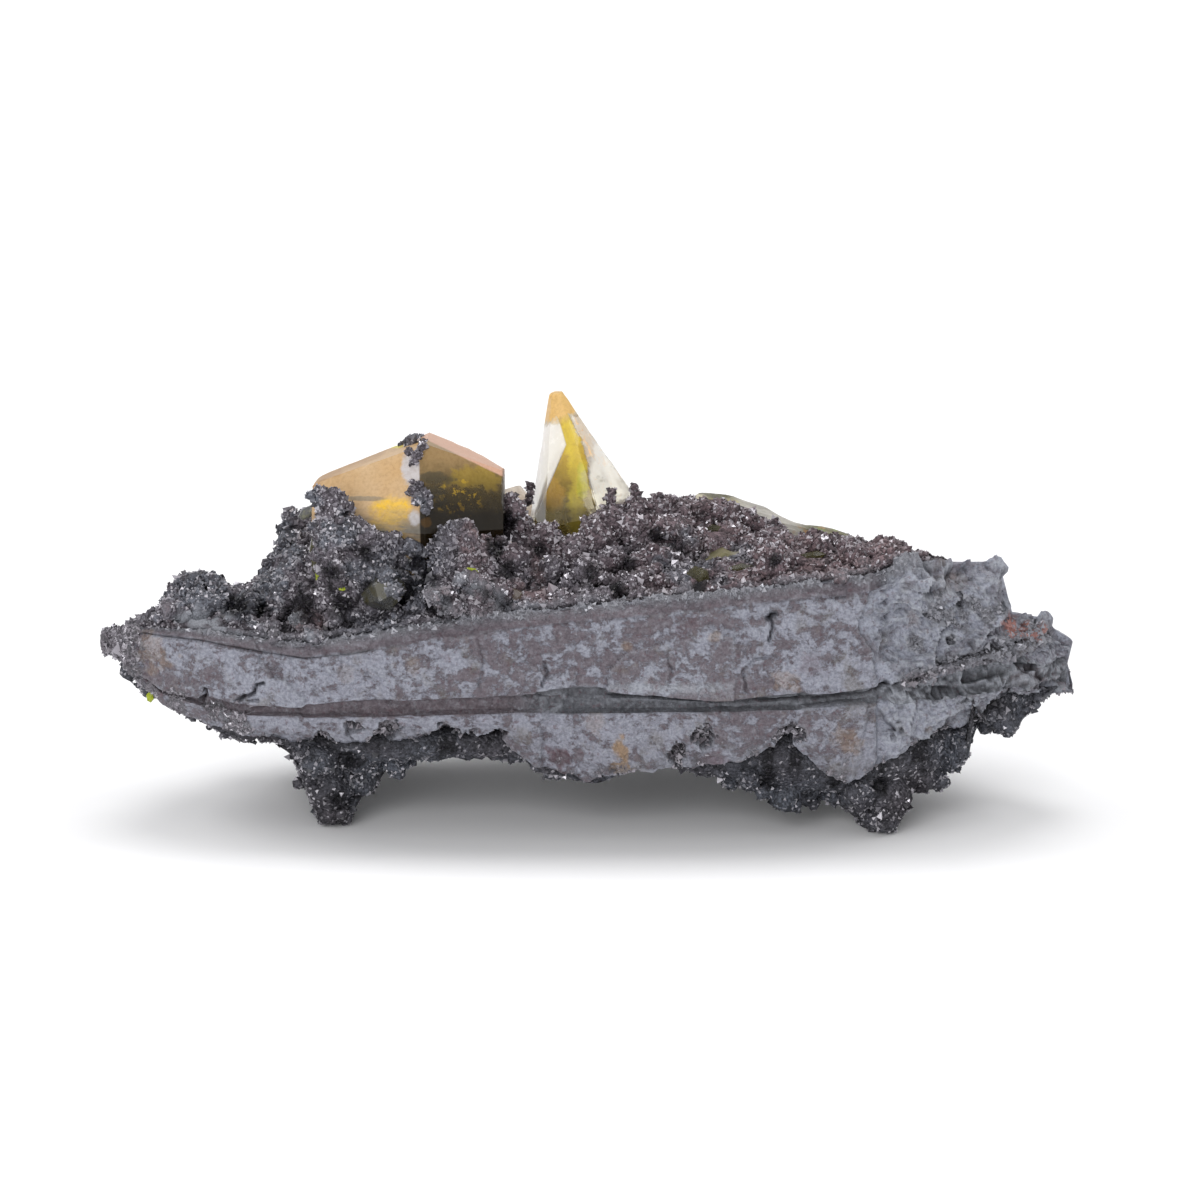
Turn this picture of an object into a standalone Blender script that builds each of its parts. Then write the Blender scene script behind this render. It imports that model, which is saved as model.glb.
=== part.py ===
"""Sturmanite crystals on a slab of banded ironstone, with drusy crusts above and below the slab.

+X runs along the slab, +Y away from the broken front edge and +Z up. The origin lies on the surface that
the specimen stands on, under the middle of its box. Sizes are in millimetres here, and MM turns them into
metres.
"""

import math

import bmesh
import bpy
import numpy as np
from mathutils import Matrix, Vector

MM = 0.001

# Overall sizes
HALF_LENGTH = 33.4
STATION_STEP = 1.12
CLEARANCE = 0.3
BURIED_FLOOR = 1.1

# The slab in plan, as (x, y) points of its front and back edges
FRONT_PLAN = ((-33.4, -5.0), (-31.0, -7.6), (-28.8, -9.6), (-26.0, -11.5), (-22.6, -12.8),
              (-18.5, -13.6), (-12.5, -14.0), (14.2, -14.0), (18.9, -13.6), (23.0, -12.5),
              (27.8, -10.0), (30.8, -7.2), (33.4, -4.2))
BACK_PLAN = ((-33.4, -4.0), (-31.0, -1.0), (-28.0, 2.6), (-24.0, 6.4), (-20.0, 9.0), (-14.0, 11.2),
             (-8.0, 13.4), (0.0, 13.8), (6.0, 13.4), (11.0, 13.6), (16.0, 11.4), (20.0, 10.2),
             (25.0, 6.6), (28.0, 3.6), (31.0, 0.6), (33.4, -1.6))

# Edges of the beds on the broken front, as (x, z) points
TOP_EDGE = ((-33.4, 12.6), (-30.0, 13.8), (-26.0, 14.3), (-19.0, 14.0), (-6.0, 16.1), (7.5, 17.4),
            (18.2, 18.6), (21.2, 19.6), (27.8, 18.7), (28.8, 15.0), (31.2, 14.0), (33.4, 11.6))
TOP_BED = ((-33.4, 0.05), (-26.0, 0.4), (-18.0, 0.9), (14.0, 0.8), (21.0, 1.2), (27.8, 1.8),
           (28.8, 0.6), (33.4, 0.2))
MAIN_FOOT = ((-33.4, 12.4), (-31.2, 11.4), (-29.0, 10.0), (-22.7, 9.6), (-12.5, 10.3), (0.8, 11.1),
             (4.0, 10.8), (9.0, 10.5), (18.9, 11.0), (27.9, 11.8), (33.4, 10.7))
LOWER_TOP = ((-33.4, 12.2), (-31.2, 11.0), (-29.0, 9.5), (-22.7, 8.9), (-5.9, 9.4), (10.2, 9.5),
             (18.9, 9.9), (27.9, 9.9), (33.4, 8.9))
LOWER_EDGE = ((-33.4, 11.9), (-31.3, 10.6), (-29.1, 8.7), (-26.2, 7.9), (-19.4, 6.8), (-9.2, 7.5),
              (-5.9, 7.3), (-3.2, 5.4), (0.2, 4.3), (3.5, 5.4), (10.3, 5.8), (13.6, 7.3), (16.3, 4.8),
              (18.4, 4.4), (21.1, 6.2), (24.5, 7.4), (28.0, 9.0), (33.4, 8.1))
UNDERSIDE = ((-33.4, 11.9), (-29.0, 9.2), (-20.0, 7.8), (0.0, 7.4), (20.0, 7.8), (28.0, 9.2),
             (33.4, 8.5))
CRUST_FOOT = ((-33.4, 11.0), (-30.0, 8.2), (-24.3, 6.0), (-22.0, 6.2), (-12.7, 4.6), (-3.9, 5.1),
              (0.8, 3.4), (5.0, 4.5), (9.7, 3.2), (13.1, 2.4), (20.0, 2.6), (26.1, 4.7), (26.7, 7.0),
              (29.7, 5.6), (33.4, 7.3))

# How far behind the front edge each bed edge lies
TOP_EDGE_BACK = 0.9
BED_EDGE_BACK = 0.15
GROOVE_DEPTH = 0.7
LOWER_EDGE_BACK = 1.0
# How steeply the slab's top falls from front to back, as (x, fall for each unit of depth) points
TOP_FALL = ((-33.4, 0.132), (17.0, 0.132), (22.5, 0.285), (33.4, 0.285))
TOP_ROWS = (0.0, 0.14, 0.34, 0.56, 0.78, 1.0)
UNDER_ROWS = (0.0, 0.15, 0.4, 0.7, 1.0)

# An eye in front of the specimen, and the outline that it sees, as (x, z) points where its sight meets
# y = 0: the crest is the top of the upper crust, and the hem is the foot of the lower one
EYE = (0.84, -332.2, 96.6)
CREST = ((-33.8, 11.2), (-31.5, 12.0), (-30.4, 12.4), (-29.4, 14.1), (-28.3, 15.8), (-26.2, 16.0),
         (-24.1, 14.6), (-23.1, 15.2), (-22.0, 15.9), (-21.1, 19.7), (-19.9, 20.7), (-18.8, 22.3),
         (-17.0, 21.7), (-16.0, 20.2), (-14.5, 18.8), (-13.0, 18.8), (-11.3, 19.5), (-7.9, 19.8),
         (-6.4, 19.5), (-5.9, 21.6), (-4.7, 21.6), (-3.7, 20.9), (-1.9, 19.8), (2.9, 21.5),
         (7.7, 21.4), (10.5, 20.5), (14.7, 18.9), (18.5, 18.3), (19.5, 17.8), (20.6, 18.4),
         (22.7, 17.3), (24.7, 16.7), (28.6, 16.5))
HEM = ((-34.0, 10.8), (-33.0, 10.0), (-31.3, 8.0), (-31.1, 6.5), (-29.6, 6.4), (-27.9, 5.6),
       (-25.7, 3.9), (-24.2, 3.3), (-21.2, 3.0), (-20.5, 1.8), (-19.5, -0.7), (-19.1, -2.7),
       (-16.7, -2.7), (-16.4, -1.0), (-15.4, -0.9), (-14.5, 0.4), (-12.5, 1.4), (-6.9, 1.3),
       (-5.1, 1.9), (-3.6, 1.1), (-0.7, 0.4), (0.8, 0.3), (3.7, 1.6), (5.9, 1.3), (8.5, 0.4),
       (11.3, -0.6), (13.2, -1.6), (17.8, -2.3), (18.4, -2.2), (19.2, -3.4), (21.6, -3.4),
       (22.0, -2.0), (23.5, -1.1), (24.3, 0.2), (26.0, 1.4), (26.7, 2.2), (26.8, 6.4), (27.3, 5.3),
       (28.5, 4.0), (29.9, 3.9), (30.4, 5.1), (32.0, 6.6), (33.9, 8.2))

# Lumps of the upper crust, as (x, y, z of the middle, radius)
UPPER_LUMPS = {
    "left_knob": ((-28.3, -6.0, 15.8, 1.3), (-27.1, -5.5, 16.1, 1.5), (-25.8, -5.0, 16.1, 1.5),
                  (-24.9, -6.0, 15.3, 1.4), (-23.6, -7.0, 15.0, 1.3), (-22.4, -3.0, 15.2, 1.2),
                  (-27.6, -8.0, 15.0, 1.2), (-25.9, -8.0, 14.9, 1.2), (-26.4, -1.6, 14.6, 1.5),
                  (-23.8, 1.6, 14.6, 1.6)),
    "left_back": ((-20.4, 4.0, 18.3, 1.1), (-20.8, 3.0, 17.0, 1.6), (-19.6, 3.5, 16.9, 1.6),
                  (-20.3, 1.0, 15.6, 1.8), (-18.7, 0.0, 15.8, 1.6), (-21.5, -3.0, 15.2, 1.4),
                  (-18.0, 5.6, 15.9, 1.7), (-15.4, 6.4, 16.3, 1.8)),
    "crystal_climber": ((-17.4, -9.0, 23.2, 0.9), (-17.1, -9.4, 22.0, 1.1), (-16.2, -9.6, 20.9, 1.3),
                        (-14.9, -9.6, 20.4, 1.3), (-13.8, -9.3, 20.9, 0.8), (-16.0, -9.8, 19.2, 1.3),
                        (-14.5, -9.8, 18.9, 1.1), (-16.9, -9.6, 17.8, 1.2)),
    "left_front": ((-20.2, -8.0, 16.7, 1.3), (-18.7, -9.5, 16.0, 1.2), (-19.3, -11.0, 15.0, 1.0),
                   (-16.9, -11.6, 15.4, 1.0)),
    "front_pillar": ((-8.5, -10.5, 21.3, 0.9), (-9.1, -10.7, 20.5, 1.0), (-8.2, -10.8, 19.9, 1.1),
                     (-7.2, -10.4, 19.6, 0.9), (-7.9, -11.0, 18.7, 1.2), (-7.3, -12.0, 17.2, 1.1),
                     (-9.5, -12.0, 17.2, 1.0), (-5.9, -11.8, 17.3, 1.0)),
    "crystal_gap": ((-4.9, -3.4, 20.0, 1.0), (-4.6, -5.0, 19.0, 1.1), (-3.9, -7.0, 18.2, 1.2),
                    (-5.0, -9.0, 18.5, 1.1)),
    "spire_foot": ((-2.9, -6.0, 19.2, 1.1), (-1.2, -6.5, 18.8, 1.2), (0.6, -5.4, 19.5, 1.1),
                   (-2.5, -9.0, 18.0, 1.2), (-0.2, -9.5, 17.8, 1.2), (1.6, -8.0, 18.4, 1.2)),
    "mound": ((1.5, -3.6, 20.2, 1.2), (3.4, -2.0, 20.0, 1.3), (5.0, -1.6, 20.0, 1.2),
              (6.4, -1.8, 19.7, 1.2), (3.6, -4.2, 19.5, 1.5), (5.8, -4.2, 19.3, 1.4),
              (9.5, -2.2, 18.8, 1.2), (4.6, -8.0, 18.4, 1.3), (9.2, -5.4, 18.1, 1.2),
              (11.2, -4.4, 18.2, 1.3), (13.2, -4.8, 17.8, 1.4), (15.2, -4.8, 17.7, 1.3),
              (3.5, -11.0, 17.4, 1.1), (10.7, -8.4, 17.6, 1.2), (12.9, -9.0, 17.4, 1.1),
              (17.3, -4.2, 17.6, 1.3)),
    "right_crest": ((19.0, -4.6, 17.9, 1.2), (20.6, -5.4, 18.5, 1.2), (21.6, -7.4, 18.6, 1.0),
                    (17.8, -8.0, 17.7, 1.1), (20.4, -1.6, 17.0, 1.4)),
    "ridge_rim": ((2.8, 4.8, 17.8, 1.6), (4.4, 8.4, 16.6, 1.6), (8.0, 10.6, 15.6, 1.5),
                  (12.8, 10.4, 15.4, 1.4), (17.4, 7.2, 14.6, 1.5), (20.4, 4.4, 14.4, 1.5)),
    "back_rim": ((-11.4, 6.6, 17.0, 1.7), (-8.0, 7.6, 16.8, 1.7), (-4.6, 9.4, 16.0, 1.6),
                 (-0.4, 8.2, 17.0, 1.6), (-1.8, 11.6, 15.0, 1.4), (-12.6, 9.2, 14.8, 1.4)),
}
# Lumps of the lower crust, as (x, y, z of the middle, radius): the feet come down to the surface
LOWER_LUMPS = {
    "left_foot": ((-17.5, -7.7, 1.0, 1.9), (-17.8, -8.8, 3.0, 1.7), (-16.4, -7.2, 3.6, 2.1),
                  (-18.4, -7.8, 5.0, 1.9), (-15.4, -8.4, 4.6, 1.6)),
    "right_foot": ((20.2, -9.6, 1.0, 1.8), (18.5, -8.8, 2.8, 1.7), (16.6, -8.4, 3.1, 1.8),
                   (14.2, -8.8, 3.2, 1.7), (12.0, -9.0, 4.0, 1.7), (22.7, -8.0, 3.8, 1.8),
                   (24.6, -7.6, 5.4, 1.7), (19.4, -6.2, 3.0, 2.0), (16.2, -5.8, 4.2, 1.8)),
    "back_feet": ((-17.0, 6.2, 1.0, 1.9), (-16.2, 5.2, 4.2, 1.9), (-17.6, 7.0, 4.6, 1.8),
                  (13.5, 7.0, 1.0, 1.9), (14.2, 6.0, 4.4, 1.8), (12.4, 8.0, 4.8, 1.8)),
    "hanging_end": ((28.2, -6.6, 6.9, 1.2), (29.5, -6.0, 6.4, 1.3), (30.7, -5.2, 7.4, 1.0)),
}
SCATTER_SEED = 11
UPPER_SCATTER = 130
LOWER_SCATTER = 90
UPPER_END = 24.6
UPPER_COLUMNS = 23
LOWER_COLUMNS = 18
# Gaps in the upper crust where a crystal beneath it shows, as (x, y, radius, depth)
WINDOWS = ((7.2, -8.9, 1.3, 2.6), (10.3, -8.4, 1.2, 2.4), (12.7, -8.6, 0.8, 1.6),
           (8.7, -2.4, 1.5, 2.6), (14.5, 0.8, 3.2, 1.6), (16.5, 4.0, 3.4, 1.6), (10.5, 6.0, 3.0, 1.6),
           (-16.6, -9.4, 0.8, 1.2))

# Sturmanite form: six-sided dipyramid faces at an angle to the long axis, ends cut flat
CRYSTALS = {
    "sturmanite_large": dict(centre=(-10.9, -3.9, 20.35), half_width=5.65, axis=(1.0, 0.0, 0.0),
                             roll=-5.0, ends=(7.8, 5.2), lean=20.5),
    "sturmanite_spire": dict(centre=(-0.2, 0.5, 20.2), half_width=3.5, axis=(-0.225, 0.0, 0.974),
                             roll=-14.0, ends=(7.0, 8.4), lean=19.5),
    "sturmanite_ridge": dict(centre=(8.3, 3.0, 15.1), half_width=5.65, axis=(0.99, 0.0, 0.14),
                             roll=0.0, ends=(2.3, 10.8), lean=24.0),
    "sturmanite_sunken": dict(centre=(9.4, -6.3, 16.7), half_width=2.3, axis=(0.995, 0.0, 0.1),
                              roll=0.0, ends=(3.2, 4.2), lean=24.0),
    "sturmanite_front_small": dict(centre=(-13.6, -11.5, 17.2), half_width=1.15,
                                   axis=(0.86, -0.34, 0.38), roll=18.0, ends=(1.5, 1.3), lean=24.0),
    "sturmanite_back_small": dict(centre=(-4.7, 5.3, 18.0), half_width=1.7, axis=(-0.25, 0.3, 0.92),
                                  roll=12.0, ends=(3.0, 2.6), lean=24.0),
}
# Clumps of crust that grew on the large crystal, as (x, y, z of the middle, half sizes)
CLUMPS = {
    "crystal_top_druse": ((-11.7, -5.6, 25.4), (0.75, 2.6, 1.35)),
    "crystal_edge_druse": ((-11.2, -9.9, 21.6), (0.6, 0.75, 1.3)),
}


def reach(points, x):
    """Values at x of the line through (x, value) points."""
    xs, values = zip(*points)
    return np.interp(x, xs, values)


def ease(value):
    """Smooth step from 0 to 1."""
    value = np.clip(value, 0.0, 1.0)
    return value * value * (3.0 - 2.0 * value)


def ripple(x, y, z, size, seed):
    """Smooth values from -1 to 1, from five crossed waves of about this size with seeded directions."""
    rng = np.random.default_rng(seed)
    total = 0.0
    for _ in range(5):
        way = rng.normal(size=3)
        way *= 2.0 * math.pi / (size * np.linalg.norm(way) * rng.uniform(0.75, 1.35))
        total = total + np.sin(way[0] * x + way[1] * y + way[2] * z + rng.uniform(0.0, 2.0 * math.pi))
    return total / 3.0


def stations():
    """Places along X where the slab and both crusts have a cross-section."""
    even = np.arange(-HALF_LENGTH + 0.5, HALF_LENGTH - 0.2, STATION_STEP)
    even = even[np.abs(even - 28.3) > 0.8]
    return np.sort(np.concatenate([even, (-HALF_LENGTH, 27.8, 28.3, 28.8, HALF_LENGTH)]))


def outlined(outline, x, y):
    """Height at (x, y) that the eye sees on this outline."""
    near = EYE[1] / (EYE[1] - y)
    seen = EYE[0] + (x - EYE[0]) * near
    return EYE[2] + (reach(outline, seen) - EYE[2]) / near


def slab_depth(x):
    """Front and back of the slab's top at x."""
    return reach(FRONT_PLAN, x) + TOP_EDGE_BACK, reach(BACK_PLAN, x) - 0.5


def slab_top(x, share):
    """Height of the slab's top at x, this share of the way from its front edge to its back edge."""
    front, back = slab_depth(x)
    level = reach(TOP_EDGE, x)
    depth = (back - front) * share
    inner = np.sin(math.pi * share)
    return level - reach(TOP_FALL, x) * depth + 0.2 * inner * ripple(x, depth, 0.0, 13.0, 3)


def top_at(x, y):
    """Height of the slab's top at a place in plan."""
    front, back = slab_depth(x)
    return float(slab_top(x, (y - front) / (back - front)))


def slab_under(x, share):
    """Height of the slab's underside at x, this share of the way from its front edge to its back edge."""
    settled = ease(share / UNDER_ROWS[1])
    level = reach(LOWER_EDGE, x) * (1.0 - settled) + reach(UNDERSIDE, x) * settled
    return level + 0.25 * settled * (1.0 - share) * ripple(x, share * 20.0, 0.0, 9.0, 4)


def slab_ring(x):
    """Cross-section of the slab at x as (y, z) points: top forward, front down, underside, back up."""
    edge = reach(FRONT_PLAN, x)
    front, back = slab_depth(x)
    rough = ease((x - 17.0) / 5.0) * ease((HALF_LENGTH - x) / 2.0)
    scale = ease((HALF_LENGTH - abs(x)) / 3.0)
    top, main_foot, lower_top = reach(TOP_EDGE, x), reach(MAIN_FOOT, x), reach(LOWER_TOP, x)
    bed = top - reach(TOP_BED, x)
    points = [(front + (back - front) * share, slab_top(x, share)) for share in TOP_ROWS[::-1]]
    rows = ((BED_EDGE_BACK, bed), (0.0, bed * 0.72 + main_foot * 0.28),
            (-0.1, bed * 0.38 + main_foot * 0.62), (0.0, main_foot),
            (GROOVE_DEPTH, main_foot * 0.8 + lower_top * 0.2),
            (GROOVE_DEPTH, main_foot * 0.15 + lower_top * 0.85), (BED_EDGE_BACK, lower_top),
            (0.35, lower_top * 0.5 + reach(LOWER_EDGE, x) * 0.5))
    for number, (setback, level) in enumerate(rows):
        chip = 0.16 * ripple(x, number * 3.0, 0.0, 5.0, 5)
        chip += 0.75 * rough * ripple(x, number * 2.1, 0.0, 4.2, 6)
        points.append((edge + setback * max(scale, 0.2) + scale * chip, level))
    under_back = back + 0.2
    for share in UNDER_ROWS:
        y = edge + LOWER_EDGE_BACK * max(scale, 0.2) + (under_back - edge - LOWER_EDGE_BACK) * share
        points.append((y, slab_under(x, share)))
    low, high = slab_under(x, 1.0), slab_top(x, 1.0)
    rows = ((0.5, 0.16), (0.2, 0.34), (-0.4, 0.42), (0.5, 0.52), (0.7, 0.8))
    for number, (out, share) in enumerate(rows):
        chip = 0.5 * ripple(x, 40.0 + number * 2.6, 0.0, 5.0, 8)
        points.append((back + scale * (out + chip), low + (high - low) * share))
    return np.array(points)


def share_between(first, last, share):
    """The value this share of the way from first to last."""
    return first + (last - first) * share


def scattered(seed, count, base, lift, radii):
    """Seeded lumps in plan, as (x, y, z, radius) rows: base(x, share) gives what they lie on."""
    rng = np.random.default_rng(seed)
    x = rng.uniform(-31.0, 31.5, count)
    share = rng.uniform(0.06, 0.95, count)
    front, back = slab_depth(x)
    radius = rng.uniform(radii[0], radii[1], count)
    level = base(x, share) + lift * radius
    return np.column_stack([x, share_between(front, back, share), level, radius])


def upper_blanket(x, share):
    """Top of the even upper crust that the lumps stand on: thin at its rim and ends, thick inside."""
    front, back = slab_depth(x)
    rim = np.minimum(share, 1.0 - share) * (back - front)
    ends = ease((x + 33.0) / 6.0) * (0.25 + 0.75 * ease((25.0 - x) / 5.0))
    return slab_top(x, share) + CLEARANCE + 0.35 + (0.25 + 1.1 * ease(rim / 5.0)) * ends


def lower_blanket(x, share):
    """Underside of the even lower crust: it meets its foot line near the front and levels off inside."""
    under = slab_under(x, share) - CLEARANCE
    foot = reach(CRUST_FOOT, x) + 0.9
    inside = ease((share - 0.3) / 0.6)
    level = foot * (1.0 - inside) + (reach(UNDERSIDE, x) - 1.9) * inside
    rim = ease(share / 0.1) * ease((1.0 - share) / 0.12)
    return np.minimum(level * rim + under * (1.0 - rim), under) - 0.45


def lump_rows(groups):
    """All the lumps of named groups in one table."""
    return np.array([lump for group in groups.values() for lump in group])


def raised(x, y, base, lumps, way):
    """Surface of the lumps over a base, up for way 1 and down for way -1: rounded caps that meet."""
    spread = (x[..., None] - lumps[:, 0]) ** 2 + (y[..., None] - lumps[:, 1]) ** 2
    radius = lumps[:, 3]
    cap = way * lumps[:, 2] + radius - spread / (1.05 * radius)
    cap = np.where(spread < (1.75 * radius) ** 2, cap, -1e3)
    return way * np.maximum(way * base, cap.max(axis=-1))


def upper_ring(x, lumps):
    """Cross-section of the upper crust at x: forward along the slab's top, then back over its lumps."""
    front, back = slab_depth(x)
    inset = np.array([min(max(share, 0.02), 0.98) for share in TOP_ROWS[::-1]])
    tops = np.array([slab_top(x, share) for share in TOP_ROWS])
    bottom = np.interp(inset, TOP_ROWS, tops) + CLEARANCE
    share = np.linspace(0.015, 0.985, UPPER_COLUMNS)
    y = share_between(front, back, share)
    level = raised(np.full_like(y, x), y, upper_blanket(x, share), lumps, 1)
    level = level + 0.3 * ripple(x, y, 0.0, 2.9, 21)
    for window_x, window_y, radius, depth in WINDOWS:
        level = level - depth * np.exp(-((x - window_x) ** 2 + (y - window_y) ** 2) / radius ** 2)
    level = np.minimum(level, outlined(CREST, x, y))
    rim = ease(np.minimum(share, 1.0 - share) * (back - front) / 1.6)
    floor = np.interp(share, TOP_ROWS, tops) + CLEARANCE + 0.45
    level = np.maximum(share_between(floor, level, rim), floor)
    return np.concatenate([np.column_stack([share_between(front, back, inset), bottom]),
                           np.column_stack([y, level])])


def lower_ring(x, lumps):
    """Cross-section of the lower crust at x: along the slab's underside, then forward over its lumps."""
    edge = reach(FRONT_PLAN, x) + LOWER_EDGE_BACK
    back = slab_depth(x)[1] + 0.2
    inset = np.array([min(max(share, 0.04), 0.94) for share in UNDER_ROWS])
    unders = np.array([slab_under(x, share) for share in UNDER_ROWS])
    top = np.interp(inset, UNDER_ROWS, unders) - CLEARANCE
    share = np.linspace(0.94, 0.04, LOWER_COLUMNS)
    y = share_between(edge, back, share)
    level = raised(np.full_like(y, x), y, lower_blanket(x, share), lumps, -1)
    level = level + 0.3 * ripple(x, y, 5.0, 2.8, 22)
    level = np.maximum(level, outlined(HEM, x, y))
    ceiling = np.interp(share, UNDER_ROWS, unders) - CLEARANCE - 0.4
    level = np.minimum(np.maximum(level, 0.0), ceiling)
    return np.concatenate([np.column_stack([share_between(edge, back, inset), top]),
                           np.column_stack([y, level])])


def lofted(places, rings):
    """Mesh of a closed skin through cross-sections of as many points each, with a fan at each end."""
    count = len(rings[0])
    points = [(x, y, z) for x, ring in zip(places, rings) for y, z in ring]
    faces = []
    for i in range(len(rings) - 1):
        for k in range(count):
            after = (k + 1) % count
            a, b = i * count + k, i * count + after
            c, d = (i + 1) * count + after, (i + 1) * count + k
            faces += [(a, b, c), (a, c, d)]
    for i in (0, len(rings) - 1):
        middle = len(points)
        points.append((places[i], *np.mean(rings[i], axis=0)))
        faces += [(i * count + k, i * count + (k + 1) % count, middle) for k in range(count)]
    return mesh_of(points, faces)


def mesh_of(points, faces):
    """A bmesh with these points and faces, its faces turned outwards."""
    shape = bmesh.new()
    corners = [shape.verts.new(Vector(point) * MM) for point in points]
    for face in faces:
        shape.faces.new([corners[index] for index in face])
    bmesh.ops.recalc_face_normals(shape, faces=shape.faces)
    return shape


def finish(shape, name, material):
    """Puts a bmesh into the scene as an object of this name and material."""
    mesh = bpy.data.meshes.new(name)
    shape.to_mesh(mesh)
    shape.free()
    mesh.materials.append(material)
    obj = bpy.data.objects.new(name, mesh)
    bpy.context.scene.collection.objects.link(obj)
    return obj


def surface(name, colour, roughness, metallic=0.0, transmission=0.0):
    """A Principled material of one colour."""
    material = bpy.data.materials.new(name)
    material.use_nodes = True
    shader = material.node_tree.nodes["Principled BSDF"]
    shader.inputs["Base Color"].default_value = (*colour, 1.0)
    shader.inputs["Roughness"].default_value = roughness
    shader.inputs["Metallic"].default_value = metallic
    shader.inputs["Transmission Weight"].default_value = transmission
    return material


def crystal_planes(centre, half_width, axis, roll, ends, lean, grow=0.0):
    """(point, outward direction) of each face of a crystal, every face moved outwards by grow.

    Its foot is cut along the slab's top, which leaves some crust beneath it.
    """
    axis = Vector(axis).normalized()
    side = Vector((0.0, 0.0, 1.0)) if abs(axis.z) < 0.7 else Vector((0.0, -1.0, 0.0))
    side = (side - axis * side.dot(axis)).normalized()
    centre = Vector(centre)
    lean = math.radians(lean)
    planes = []
    for number in range(6):
        turned = Matrix.Rotation(math.radians(roll) + number * math.pi / 3.0, 3, axis) @ side
        for way in (-1, 1):
            outward = (turned * math.cos(lean) + axis * way * math.sin(lean)).normalized()
            planes.append((centre + turned * half_width + outward * grow, outward))
    for way, end in zip((-1, 1), ends):
        planes.append((centre + axis * way * (end + grow), axis * way))
    level = [top_at(centre.x + dx, centre.y + dy) for dx, dy in ((0.0, 0.0), (1.0, 0.0), (0.0, 1.0))]
    down = Vector((level[1] - level[0], level[2] - level[0], -1.0)).normalized()
    planes.append((Vector((centre.x, centre.y, level[0] + BURIED_FLOOR)) + down * grow, down))
    return planes


def crystal_shape(planes, size=60.0):
    """A block cut by planes, as a bmesh in metres."""
    shape = bmesh.new()
    bmesh.ops.create_cube(shape, size=size * MM)
    for point, outward in planes:
        everything = shape.verts[:] + shape.edges[:] + shape.faces[:]
        cut = bmesh.ops.bisect_plane(shape, geom=everything, plane_co=point * MM, plane_no=outward,
                                     dist=1e-7, clear_outer=True)
        rim = [part for part in cut["geom_cut"] if isinstance(part, bmesh.types.BMEdge)]
        if rim:
            bmesh.ops.contextual_create(shape, geom=rim)
    bmesh.ops.remove_doubles(shape, verts=shape.verts, dist=2e-6)
    bmesh.ops.recalc_face_normals(shape, faces=shape.faces)
    return shape


def clump_shape(middle, half_sizes):
    """A knobbly lump as a bmesh in metres."""
    shape = bmesh.new()
    bmesh.ops.create_icosphere(shape, subdivisions=2, radius=1.0)
    for vert in shape.verts:
        place = Vector([middle[i] + vert.co[i] * half_sizes[i] for i in range(3)])
        bulge = 1.0 + 0.22 * float(ripple(place.x, place.y, place.z, 1.3, 31))
        vert.co = Vector([middle[i] + vert.co[i] * half_sizes[i] * bulge for i in range(3)]) * MM
    return shape


def cutter(shape, name):
    """A hidden object that Booleans cut with."""
    mesh = bpy.data.meshes.new(name)
    shape.to_mesh(mesh)
    shape.free()
    obj = bpy.data.objects.new(name, mesh)
    obj.hide_render = True
    obj.display_type = "WIRE"
    bpy.context.scene.collection.objects.link(obj)
    return obj


def carve(obj, cutters):
    """Cuts an object with cutters and keeps its largest body, without the crumbs that a cut leaves."""
    for tool in cutters:
        modifier = obj.modifiers.new(tool.name, "BOOLEAN")
        modifier.operation = "DIFFERENCE"
        modifier.solver = "EXACT"
        modifier.object = tool
    bpy.context.view_layer.update()
    evaluated = obj.evaluated_get(bpy.context.evaluated_depsgraph_get())
    shape = bmesh.new()
    shape.from_mesh(evaluated.to_mesh())
    evaluated.to_mesh_clear()
    obj.modifiers.clear()
    bmesh.ops.triangulate(shape, faces=shape.faces)
    bodies = linked_bodies(shape)
    bodies.sort(key=len, reverse=True)
    crumbs = [face for body in bodies[1:] for face in body]
    bmesh.ops.delete(shape, geom=crumbs, context="FACES")
    shape.to_mesh(obj.data)
    shape.free()


def linked_bodies(shape):
    """The faces of each connected body of a bmesh."""
    left = set(shape.faces)
    bodies = []
    while left:
        body, edge = [], [left.pop()]
        while edge:
            face = edge.pop()
            body.append(face)
            near = {other for line in face.edges for other in line.link_faces} & left
            left -= near
            edge += near
        bodies.append(body)
    return bodies


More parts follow.
